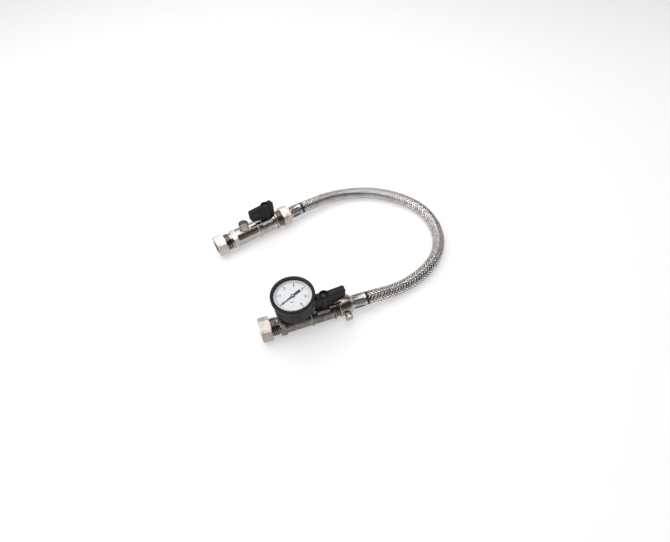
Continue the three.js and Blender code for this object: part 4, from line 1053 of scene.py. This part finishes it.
def make_wing_hose_nut(valve, nickel):
    """Hand nut: a round collar, narrowed at its hose end, and two flat ears."""
    middle = (WING_NUT_START + HOSE_NUT_END) / 2
    rim = 0.6 * MM
    slope = 1.2 * MM
    collar = turned([
        (WING_NUT_START, 0), (WING_NUT_START, WING_NUT_RADIUS - rim), (WING_NUT_START + rim, WING_NUT_RADIUS),
        (HOSE_NUT_END - 2 * slope, WING_NUT_RADIUS), (HOSE_NUT_END - slope, WING_NUT_RADIUS - rim),
        (HOSE_NUT_END, WING_NUT_RADIUS - 2 * rim), (HOSE_NUT_END, 0),
    ])
    root = (WING_LENGTH * 0.40, -WING_HEIGHT * 0.36, WING_HEIGHT * 0.36)
    tip = (WING_LENGTH / 2, -WING_HEIGHT / 2, WING_HEIGHT / 2)
    for side in (-1, 1):
        ear = lofted([(0, *root), (WING_NUT_RADIUS, *root), (WING_REACH - 4 * MM, *tip), (WING_REACH, *tip)])
        eased(ear, 0.9 * MM)
        fitted(collar, moved(ear, (middle, 0, 0), (0, 0, side * QUARTER_TURN)), how="UNION")
    painted(fitted(collar, hose_nut_bore(WING_NUT_START)), nickel)
    laid(collar, valve, "hand_nut", "nickel_plated_brass", "wing_nut")


def oblong(length, width, height, taper):
    """An upright cutter with round ends, narrower at its foot by the taper."""
    half = width / 2
    straight = length / 2 - half
    cutter = begin(bpy.ops.mesh.primitive_circle_add, vertices=COARSE, radius=half - taper, fill_type="NGON")
    bpy.ops.object.mode_set(mode="EDIT")
    for side in (-1, 1):
        pick(cutter, "VERT", lambda at: side * at.x > POLE)
        bpy.ops.transform.translate(value=(side * straight, 0, 0))
    bpy.ops.mesh.select_all(action="SELECT")
    bpy.ops.mesh.extrude_region_move(TRANSFORM_OT_translate={"value": (0, 0, height)})
    bpy.ops.transform.resize(value=(length / (length - 2 * taper), width / (width - 2 * taper), 1),
                             center_override=(0, 0, height))
    return settle(cutter)


def make_ferrule(valve, steel):
    """Crimped ferrule: rolled rims and a row of pressed oblong windows."""
    roll = FERRULE_ROLL
    inner = NECK_RADIUS + GAP
    shell = turned([
        (FERRULE_START, inner), (FERRULE_START, FERRULE_RADIUS - roll),
        *round_corner((FERRULE_START + roll, FERRULE_RADIUS - roll), roll, HALF_TURN, QUARTER_TURN, 4)[1:],
        (FERRULE_START + 1.5 * MM, FERRULE_WAIST), (FERRULE_END - 1.8 * MM, FERRULE_WAIST),
        *round_corner((FERRULE_END - roll, FERRULE_RADIUS - roll), roll, QUARTER_TURN, 0, 4),
        (FERRULE_END, inner), (FERRULE_START, inner),
    ])
    for k in range(FERRULE_WINDOWS):
        cutter = oblong(WINDOW_LENGTH, WINDOW_WIDTH, 2 * MM, 0.25 * MM)
        moved(cutter, (0, 0, FERRULE_WAIST - WINDOW_DEPTH))
        fitted(shell, moved(cutter, (FERRULE_MIDDLE, 0, 0), (FULL_TURN * (k + 0.5) / FERRULE_WINDOWS, 0, 0)))
    laid(painted(shell, steel), valve, "crimp", "steel_ferrule", "ferrule")


def make_port_washer(valve, fibre):
    inner = valve.port_thread + GAP
    outer = valve.port_radius
    bottom = valve.port_height + GAP
    top = bottom + PORT_WASHER
    ring = turned_up([(bottom, inner), (bottom, outer), (top, outer), (top, inner), (bottom, inner)], PORT_X)
    laid(painted(ring, fibre), valve, "fibre_ring", "fibre_washer", "port_washer")


def make_lever(valve, plastic):
    """Lever handle: a hub, a long wing and a short one, hollowed sides and a recess for the screw."""
    bottom, top, half = HANDLE_BOTTOM, HANDLE_TOP, HANDLE_HALF
    narrow = half * 0.86
    wings = lofted([
        (-SHORT_WING, narrow, bottom, top - 1.2 * MM),
        (-SHORT_WING + 1.6 * MM, half, bottom, top),
        (HUB_RADIUS + 0.6 * MM, half, bottom, top),
        (HUB_RADIUS + 2.0 * MM, half, bottom + 1.6 * MM, top + 0.2 * MM),
        (LONG_WING - 1.6 * MM, half, HANDLE_TIP_BOTTOM - 0.8 * MM, HANDLE_TIP_TOP),
        (LONG_WING, narrow, HANDLE_TIP_BOTTOM + 0.8 * MM, HANDLE_TIP_TOP - 1.4 * MM),
    ])
    eased(wings, 0.9 * MM, segments=4, angle=30)
    edge = 0.4 * MM
    hub = turned_up([
        (bottom, 0), (bottom, HUB_RADIUS - edge), (bottom + edge, HUB_RADIUS),
        (top - edge / 2, HUB_RADIUS), (top + edge, HUB_RADIUS - 1.5 * edge), (top + edge, 0),
    ])
    fitted(wings, hub, how="UNION")
    for side in (-1, 1):
        pocket = lofted([
            (HUB_RADIUS + 2.6 * MM, 1 * MM, bottom + 6.0 * MM, top - 2.4 * MM),
            (LONG_WING - 2.6 * MM, 1 * MM, HANDLE_TIP_BOTTOM + 1.6 * MM, HANDLE_TIP_TOP - 4.0 * MM),
        ])
        eased(pocket, 0.5 * MM)
        fitted(wings, moved(pocket, (0, side * (half + 0.2 * MM), 0)))
    flare = RECESS_RADIUS + 0.5 * MM
    recess = turned_up([
        (top - RECESS_DEPTH, 0), (top - RECESS_DEPTH, RECESS_RADIUS), (top, RECESS_RADIUS),
        (top + 0.5 * MM, flare), (top + 2 * CUT, flare), (top + 2 * CUT, 0),
    ])
    square = block(-STEM_SQUARE, STEM_SQUARE, -STEM_SQUARE, STEM_SQUARE, bottom - CUT, STEM_TOP)
    fitted(wings, recess, square, rod(bottom, top, SCREW_HOLE, 0, COARSE))
    moved(wings, (STEM_X, 0, 0), (0, 0, valve.lever))
    laid(painted(wings, plastic), valve, "lever_grip", "black_handle", "handle", body="lever")


def make_lever_screw(valve, steel):
    """Cross-head screw in the lever's recess."""
    seat = HANDLE_TOP - RECESS_DEPTH + GAP
    top = seat + 1.6 * MM
    foot = seat - 14.5 * MM
    shank = 1.5 * MM
    screw = turned_up([
        (foot, 0), (foot, shank), (seat, shank), (seat, SCREW_RADIUS), (top - 0.7 * MM, SCREW_RADIUS),
        (top - 0.25 * MM, SCREW_RADIUS - 0.3 * MM), (top, SCREW_RADIUS - 0.9 * MM), (top, 0),
    ], STEM_X, FINE)
    for reach, half in ((2.1 * MM, 0.42 * MM), (0.42 * MM, 2.1 * MM)):
        slot = block(STEM_X - reach, STEM_X + reach, -half, half, top - 0.7 * MM, top + CUT, 0.12 * MM)
        fitted(screw, slot)
    laid(painted(screw, steel), valve, "lever_screw", "steel_screw", "handle_screw", body="lever")


def make_plug(valve, nickel):
    """Test plug: a round head with a coin slot, and its shank in the port."""
    seat = valve.port_shoulder
    top = seat + PLUG_HEIGHT
    foot = valve.port_floor + GAP
    plug = turned_up([
        (foot, 0), (foot, valve.port_thread), (seat, valve.port_thread), (seat, PLUG_RADIUS - EDGE),
        (seat + EDGE, PLUG_RADIUS), (top - 0.8 * MM, PLUG_RADIUS), (top - 0.25 * MM, PLUG_RADIUS - 0.3 * MM),
        (top, PLUG_RADIUS - 0.9 * MM), (top, 0),
    ], PORT_X)
    half = PLUG_SLOT_WIDTH / 2
    reach = PLUG_RADIUS + CUT
    slot = block(PORT_X - reach, PORT_X + reach, -half, half, top - PLUG_SLOT_DEPTH, top + CUT)
    painted(fitted(plug, slot), nickel)
    laid(plug, valve, "port_plug", "nickel_plated_brass", "test_plug")


# Gauge
def make_gauge_socket(valve, brass):
    """Socket: spanner flats under the case, a plain shank in the port and a neck into the case."""
    shoulder = valve.port_shoulder
    foot = PORT_FLOOR + GAP
    neck = 4 * MM
    neck_top = 30.7 * MM
    socket = hex_prism(GAUGE_FLATS, FLATS_TOP - shoulder, location=(PORT_X, 0, (FLATS_TOP + shoulder) / 2))
    eased(socket, EDGE, segments=2)
    shank = turned_up([
        (foot, 0), (foot, PORT_THREAD), (shoulder + CUT, PORT_THREAD), (shoulder + CUT, neck),
        (neck_top, neck), (neck_top, 0),
    ], PORT_X, FINE)
    painted(fitted(socket, shank, how="UNION"), brass)
    laid(socket, valve, "stem", "brass", "socket")


def make_gauge_case(valve, plastic):
    inner = CASE_RADIUS - CASE_WALL
    rim = DIAL_RADIUS + GAP
    ledge = DIAL_BOTTOM - GAP
    corner = (CASE_BOTTOM + CASE_ROUND, CASE_RADIUS - CASE_ROUND)
    can = turned_up([
        (CASE_BOTTOM, CASE_HOLE), (CASE_BOTTOM, CASE_RADIUS - CASE_ROUND),
        *round_corner(corner, CASE_ROUND, HALF_TURN, QUARTER_TURN)[1:],
        (CASE_TOP, CASE_RADIUS), (CASE_TOP, rim), (ledge, rim), (ledge, inner),
        (CASE_BOTTOM + CASE_FLOOR, inner), (CASE_BOTTOM + CASE_FLOOR, CASE_HOLE), (CASE_BOTTOM, CASE_HOLE),
    ], PORT_X)
    laid(painted(can, plastic), valve, "can", "gauge_case", "case")


def make_gauge_bezel(valve, plastic):
    """Bezel ring: a rounded crown outside, a sloping lip down to the window."""
    fit = CASE_RADIUS + GAP
    lip = BEZEL_TOP - BEZEL_LIP
    crown = 1.1 * MM
    foot = 0.3 * MM
    ring = turned_up([
        (BEZEL_BOTTOM, fit), (BEZEL_BOTTOM, BEZEL_RADIUS - foot), (BEZEL_BOTTOM + foot, BEZEL_RADIUS),
        *round_corner((BEZEL_TOP - crown, BEZEL_RADIUS - crown), crown, QUARTER_TURN, 0),
        (BEZEL_TOP - 0.05 * MM, BEZEL_OPENING + 1.7 * MM), (BEZEL_TOP - 0.3 * MM, BEZEL_OPENING + 1.1 * MM),
        (lip + 0.3 * MM, BEZEL_OPENING + 0.1 * MM), (lip, BEZEL_OPENING), (lip, fit), (BEZEL_BOTTOM, fit),
    ], PORT_X, 2 * ROUND)
    laid(painted(ring, plastic), valve, "ring", "gauge_bezel", "bezel")


def make_gauge_glass(valve, glass):
    half = 0.15 * MM
    disc = turned_up([
        (GLASS_BOTTOM, 0), (GLASS_BOTTOM, CASE_RADIUS - half), (GLASS_BOTTOM + half, CASE_RADIUS),
        (GLASS_TOP - half, CASE_RADIUS), (GLASS_TOP, CASE_RADIUS - half), (GLASS_TOP, 0),
    ], PORT_X)
    laid(painted(disc, glass), valve, "glass", "gauge_window", "window")


def make_dial(valve, enamel):
    hole = 1 * MM
    half = 0.1 * MM
    disc = turned_up([
        (DIAL_BOTTOM, hole), (DIAL_BOTTOM, DIAL_RADIUS), (DIAL_TOP - half, DIAL_RADIUS),
        (DIAL_TOP, DIAL_RADIUS - half), (DIAL_TOP, hole), (DIAL_BOTTOM, hole),
    ], PORT_X)
    laid(painted(disc, enamel), valve, "face", "dial_face", "dial")


def tick(angle, outer, length, width):
    """One printed mark: a thin bar that points to the dial's middle."""
    mark = begin(
        bpy.ops.mesh.primitive_cube_add, (length, width, PRINT_HEIGHT),
        size=1, location=(outer - length / 2, 0, PRINT_HEIGHT / 2),
    )
    return moved(mark, turn=(0, 0, angle))


def written(words, angle, radius, size):
    """Printed figures, upright as the dial stands, centred on a point of the dial."""
    bpy.ops.object.select_all(action="DESELECT")
    bpy.ops.object.text_add()
    text = bpy.context.object
    text.data.body = words
    text.data.size = size
    text.data.align_x = "CENTER"
    text.data.align_y = "CENTER"
    text.data.extrude = PRINT_HEIGHT / 2
    text.data.offset = size * LETTER_BOLD
    text.data.resolution_u = LETTER_STEPS
    text.rotation_euler.z = SCALE_UP - QUARTER_TURN
    text.location = (radius * math.cos(angle), radius * math.sin(angle), PRINT_HEIGHT / 2)
    bpy.ops.object.convert(target="MESH")
    bpy.ops.object.transform_apply()
    bpy.ops.object.mode_set(mode="EDIT")
    return settle(bpy.context.object)


def arc_band(first, last, inner, outer, steps):
    """A printed band round the dial, between two angles."""
    band = begin(
        bpy.ops.mesh.primitive_plane_add, (outer - inner, POLE, 1),
        size=1, location=((inner + outer) / 2, 0, 0),
    )
    bpy.ops.object.mode_set(mode="EDIT")
    bpy.ops.mesh.delete(type="ONLY_FACE")
    pick(band, "VERT", lambda at: at.y < 0)
    bpy.ops.mesh.delete(type="VERT")
    bpy.ops.mesh.select_all(action="SELECT")
    bpy.ops.mesh.spin(steps=steps, angle=last - first, center=(0, 0, 0), axis=(0, 0, 1))
    bpy.ops.mesh.select_all(action="SELECT")
    bpy.ops.mesh.extrude_region_move(TRANSFORM_OT_translate={"value": (0, 0, PRINT_HEIGHT)})
    return moved(settle(band), turn=(0, 0, first))


def make_dial_print(valve, black, red):
    """A plain scale from 0 to 6 with its ticks and figures, and a red band at its high end."""
    marks = []
    count = SCALE_TOP_NUMBER * SCALE_PARTS
    for k in range(count + 1):
        length, width = (TICK_SHORT, TICK_THIN) if k % SCALE_PARTS else (TICK_LONG, TICK_WIDE)
        marks.append(tick(SCALE_FIRST + SCALE_SWEEP * k / count, SCALE_RADIUS, length, width))
    for k in range(SCALE_TOP_NUMBER + 1):
        angle = SCALE_FIRST + SCALE_SWEEP * k / SCALE_TOP_NUMBER
        marks.append(written(str(k), angle, NUMBER_RADIUS, NUMBER_SIZE))
    marks.append(written("bar", SCALE_UP + HALF_TURN, UNIT_RADIUS, UNIT_SIZE))
    last = SCALE_FIRST + SCALE_SWEEP
    marks.append(arc_band(last, SCALE_FIRST, SCALE_RADIUS, SCALE_RADIUS + SCALE_LINE, FINE))
    on_dial = (PORT_X, 0, DIAL_TOP + 0.01 * MM)
    scale = painted(moved(together(*marks), on_dial), black)
    laid(scale, valve, "scale", "gauge_pointer")
    high = arc_band(last, SCALE_FIRST + SCALE_SWEEP * HIGH_SHARE, *HIGH_BAND, COARSE)
    laid(painted(moved(high, on_dial), red), valve, "red_band", "dial_face")


def make_pointer(valve, black, steel):
    """Pointer: a tapered needle, a broad counterweight and a hub with its bright pin."""
    half = POINTER_THICKNESS / 2
    middle = POINTER_BOTTOM + half
    sides = (middle - half, middle + half)
    needle = lofted([
        (-POINTER_TAIL, 1.0 * MM, *sides),
        (-POINTER_TAIL + 0.5 * MM, 1.35 * MM, *sides),
        (-POINTER_HUB - 1.6 * MM, 1.35 * MM, *sides),
        (-POINTER_HUB, 0.9 * MM, *sides),
        (0, 0.9 * MM, *sides),
        (POINTER_TIP, 0.16 * MM, middle - half * 0.6, middle + half * 0.6),
    ])
    hub = turned_up([
        (POINTER_BOTTOM, 0), (POINTER_BOTTOM, POINTER_HUB), (POINTER_BOTTOM + 0.55 * MM, POINTER_HUB),
        (POINTER_BOTTOM + 0.75 * MM, POINTER_HUB - 0.35 * MM), (POINTER_BOTTOM + 0.75 * MM, 0),
    ], 0, FINE)
    painted(fitted(needle, hub, how="UNION"), black)
    pin = turned_up([
        (POINTER_BOTTOM + 0.78 * MM, 0), (POINTER_BOTTOM + 0.78 * MM, 0.9 * MM),
        (POINTER_BOTTOM + 0.9 * MM, 0.75 * MM), (POINTER_BOTTOM + 0.93 * MM, 0),
    ], 0, FINE)
    together(needle, painted(pin, steel))
    moved(needle, (PORT_X, 0, 0), (0, 0, POINTER_ANGLE))
    laid(needle, valve, "needle_arm", "gauge_pointer", "pointer", body="needle")


# Hose
def smooth_route(points, step):
    """Points a step apart on the centripetal curve through the chosen ones."""
    chosen = np.array(points, float) * MM
    ends = (2 * chosen[0] - chosen[1], 2 * chosen[-1] - chosen[-2])
    chosen = np.vstack([ends[0], chosen, ends[1]])
    share = np.linspace(0, 1, SPAN_STEPS, endpoint=False)[:, None]
    spans = []
    for p0, p1, p2, p3 in zip(chosen, chosen[1:], chosen[2:], chosen[3:]):
        d0, d1, d2 = (math.sqrt(np.linalg.norm(b - a)) for a, b in ((p0, p1), (p1, p2), (p2, p3)))
        leave = ((p1 - p0) / d0 - (p2 - p0) / (d0 + d1) + (p2 - p1) / d1) * d1
        arrive = ((p2 - p1) / d1 - (p3 - p1) / (d1 + d2) + (p3 - p2) / d2) * d1
        bend = -3 * p1 + 3 * p2 - 2 * leave - arrive
        twist = 2 * p1 - 2 * p2 + leave + arrive
        spans.append(p1 + leave * share + bend * share ** 2 + twist * share ** 3)
    line = np.vstack([*spans, chosen[-2][None]])
    length = np.concatenate([[0], np.cumsum(np.linalg.norm(np.diff(line, axis=0), axis=1))])
    at = np.linspace(0, length[-1], round(length[-1] / step) + 1)
    return np.stack([np.interp(at, length, line[:, k]) for k in range(3)], axis=1), at


def beside(line):
    """Unit vectors along a line, level across it, and square to both."""
    along = np.gradient(line, axis=0)
    along /= np.linalg.norm(along, axis=1)[:, None]
    across = np.cross(along, (0, 0, 1))
    across /= np.linalg.norm(across, axis=1)[:, None]
    return along, across, np.cross(across, along)


def tube_faces(first, rings, corners):
    """Quads between rings of points, with both ends closed."""
    start = first + np.arange(rings - 1)[:, None] * corners
    k = np.arange(corners)[None]
    after = (k + 1) % corners
    quads = np.stack([start + k, start + after, start + corners + after, start + corners + k], axis=-1)
    last = first + (rings - 1) * corners
    caps = [list(range(first + corners - 1, first - 1, -1)), list(range(last, last + corners))]
    return quads.reshape(-1, 4).tolist() + caps


def strand(line, at, turn, number):
    """One flat strand of the braid: it passes over two crossing strands, then under two."""
    along, across, up = beside(line)
    crossings = at * 2 * CARRIERS / BRAID_PITCH
    angle = turn * FULL_TURN * at / BRAID_PITCH + FULL_TURN * number / CARRIERS
    lift = turn * np.cos(QUARTER_TURN * (2 * number + turn * crossings - 0.5))
    out = np.cos(angle)[:, None] * across + np.sin(angle)[:, None] * up
    around = np.cos(angle)[:, None] * up - np.sin(angle)[:, None] * across
    lead = along + around * (turn * FULL_TURN * STRAND_RADIUS / BRAID_PITCH)
    lead /= np.linalg.norm(lead, axis=1)[:, None]
    side = np.cross(out, lead)
    height = (STRAND_RADIUS + STRAND_LIFT * lift)[:, None]
    corners = [
        line + out * (height + rise) + side * STRAND_WIDTH * (share - 0.5)
        for share, rise in STRAND_SHAPE
    ]
    return np.stack(corners, axis=1).reshape(-1, 3), np.repeat(lift, len(corners))


def make_hose(rubber):
    """The hose: a rubber core under a braid of flat strands, each of wires side by side."""
    line, at = smooth_route(HOSE_ROUTE, BRAID_PITCH / (2 * CARRIERS) / STEPS_PER_CROSSING)
    wide = len(STRAND_SHAPE)
    shares = np.tile([corner[0] for corner in STRAND_SHAPE], len(line))
    chart = np.stack([shares, np.repeat(at, wide)], axis=1)
    # Each tube: its points, how many go round it, its chart, tone, lift and which finish it has
    tubes = []
    for turn in (1, -1):
        for number in range(CARRIERS):
            points, lift = strand(line, at, turn, number)
            tone = (number * TONE_STRIDE % CARRIERS) / CARRIERS
            tubes.append((points, wide, chart, np.full(len(points), tone), lift, 0))
    across, up = beside(line)[1:]
    rings = np.unique(np.append(np.arange(0, len(line), CORE_EVERY), len(line) - 1))
    around = (np.arange(COARSE) * FULL_TURN / COARSE)[None, :, None]
    ring = np.cos(around) * across[rings][:, None] + np.sin(around) * up[rings][:, None]
    core = (line[rings][:, None] + CORE_RADIUS * ring).reshape(-1, 3)
    flat = np.zeros(len(core))
    tubes.append((core, COARSE, np.zeros((len(core), 2)), flat, flat, 1))
    faces, skin, count = [], [], 0
    for points, corners, *_, finish in tubes:
        made = tube_faces(count, len(points) // corners, corners)
        faces += made
        skin += [finish] * len(made)
        count += len(points)
    points, charts, tones, lifts = ([tube[k] for tube in tubes] for k in (0, 2, 3, 4))
    mesh = bpy.data.meshes.new("hose_braid")
    mesh.from_pydata(np.vstack(points).tolist(), [], faces)
    corner_points = np.zeros(len(mesh.loops), np.int32)
    mesh.loops.foreach_get("vertex_index", corner_points)
    layer = mesh.uv_layers.new(name="strand")
    layer.data.foreach_set("uv", np.vstack(charts)[corner_points].astype(np.float32).ravel())
    for name, values in (("tone", tones), ("lift", lifts)):
        shade = mesh.attributes.new(name, "FLOAT", "POINT")
        shade.data.foreach_set("value", np.concatenate(values).astype(np.float32))
    mesh.materials.append(braid_wire(float(at[-1])))
    mesh.materials.append(rubber)
    mesh.polygons.foreach_set("material_index", np.array(skin, np.int32))
    hose = bpy.data.objects.new("hose_braid", mesh)
    scene.collection.objects.link(hose)
    choose(hose)
    bpy.ops.object.mode_set(mode="EDIT")
    bpy.ops.mesh.select_all(action="SELECT")
    bpy.ops.mesh.normals_make_consistent(inside=False)
    bpy.ops.object.mode_set(mode="OBJECT")
    bpy.ops.object.shade_smooth_by_angle(angle=BRAID_SMOOTH_ANGLE)
    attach(hose, "root")
    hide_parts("hose")
    return hose, line, float(at[-1])


def repaint(finish, *nodes):
    """A better finish for the model's own pieces, which keep their shape."""
    for node in nodes:
        piece = frame["nodes"][node]
        piece.data.materials.clear()
        piece.data.materials.append(finish)


# The scene
HEATING = Valve("heating", 0, (PORT_RADIUS, PORT_HEIGHT, PORT_THREAD, PORT_FLOOR))
MAINS = Valve(
    "mains", HALF_TURN + MAINS_LEVER_TURN, (TEST_PORT_RADIUS, TEST_PORT_HEIGHT, TEST_THREAD, TEST_PORT_FLOOR),
)
# The gauge stands on the heating valve, and its pieces have names of their own
GAUGE = copy.copy(HEATING)
GAUGE.prefix = "gauge"

add_camera()
hose, hose_line, hose_length = make_hose(soft_black("core_rubber", tone=0.02, rough=0.62))

brass = plain_metal("turned_brass", BRASS, rough=0.22)
zinc = plain_metal("zinc_steel", ZINC, rough=0.25)
dark_steel = plain_metal("blackened_steel", DARK_STEEL, rough=0.34)
fibre = pale_plastic("grey_fibre", FIBRE, rough=0.6)
grip = moulded("lever_plastic", LEVER_BLACK, rough=0.46, grain_size=3.0, grain_depth=0.10, shine=0.25)
for valve in (HEATING, MAINS):
    if valve is HEATING:
        nickel = plated("heating_nickel", valve, HEATING_NICKEL)
        # Painted shade: the barrel parts under the gauge get the darker plate
        barrel = plated("heating_barrel_painted_shade", valve, HEATING_BARREL_PAINTED_SHADE)
    else:
        nickel = barrel = plated("mains_nickel", valve, MAINS_NICKEL)
    dark = dark_thread(f"{valve.prefix}_thread", valve)
    make_pipe_nut(valve, nickel)
    make_olive(valve, brass)
    make_check_body(valve, barrel, dark)
    make_ball_body(valve, barrel)
    make_end_piece(valve, barrel, dark)
    make_port_washer(valve, fibre)
    make_lever(valve, grip)
    make_lever_screw(valve, dark_steel)
    make_ferrule(valve, crimped_steel(f"{valve.prefix}_crimp_steel", valve))
    if valve is MAINS:
        make_plug(valve, plug_steel(valve))
        make_hex_hose_nut(valve, nickel)
    else:
        make_wing_hose_nut(valve, nickel)

can_black = moulded("case_black", CASE_BLACK, rough=0.50, grain_size=2.4, grain_depth=0.07, shine=0.22)
ring_black = moulded("ring_black", RING_BLACK, rough=0.28, grain_size=1.2, grain_depth=0.02, shine=0.24)
make_gauge_socket(GAUGE, brass)
make_gauge_case(GAUGE, can_black)
make_dial(GAUGE, dial_enamel(GAUGE))
make_dial_print(GAUGE, print_ink("scale_ink", SCALE_INK), print_ink("red_ink", RED_INK))
make_pointer(GAUGE, print_ink("pointer_paint", POINTER_PAINT), zinc)
make_gauge_glass(GAUGE, window_glass())
make_gauge_bezel(GAUGE, ring_black)

repaint(brass, "gauge_pressure_tube", "gauge_movement", "gauge_sector", "gauge_spindle")
seat_white = pale_plastic("seat_white", SEAT_WHITE)
check_pale = pale_plastic("check_pale", CHECK_PALE)
chrome = plain_metal("ball_chrome", CHROME, rough=0.06)
seal_black = soft_black("seal_rubber", tone=0.015, rough=0.5)
for prefix in ("mains", "heating"):
    repaint(brass, f"{prefix}_stem", f"{prefix}_hose_tail")
    repaint(chrome, f"{prefix}_ball")
    repaint(seat_white, f"{prefix}_ball_seat_1", f"{prefix}_ball_seat_2")
    repaint(seal_black, f"{prefix}_stem_seal", f"{prefix}_hose_washer")
for number in (1, 2):
    repaint(check_pale, *(f"mains_check_{word}_{number}" for word in ("seat", "cage", "poppet")))
    repaint(zinc, f"mains_check_spring_{number}")

add_floor()
add_world()
for softbox in SOFTBOXES:
    add_softbox(*softbox)
scene.view_settings.view_transform = "Standard"
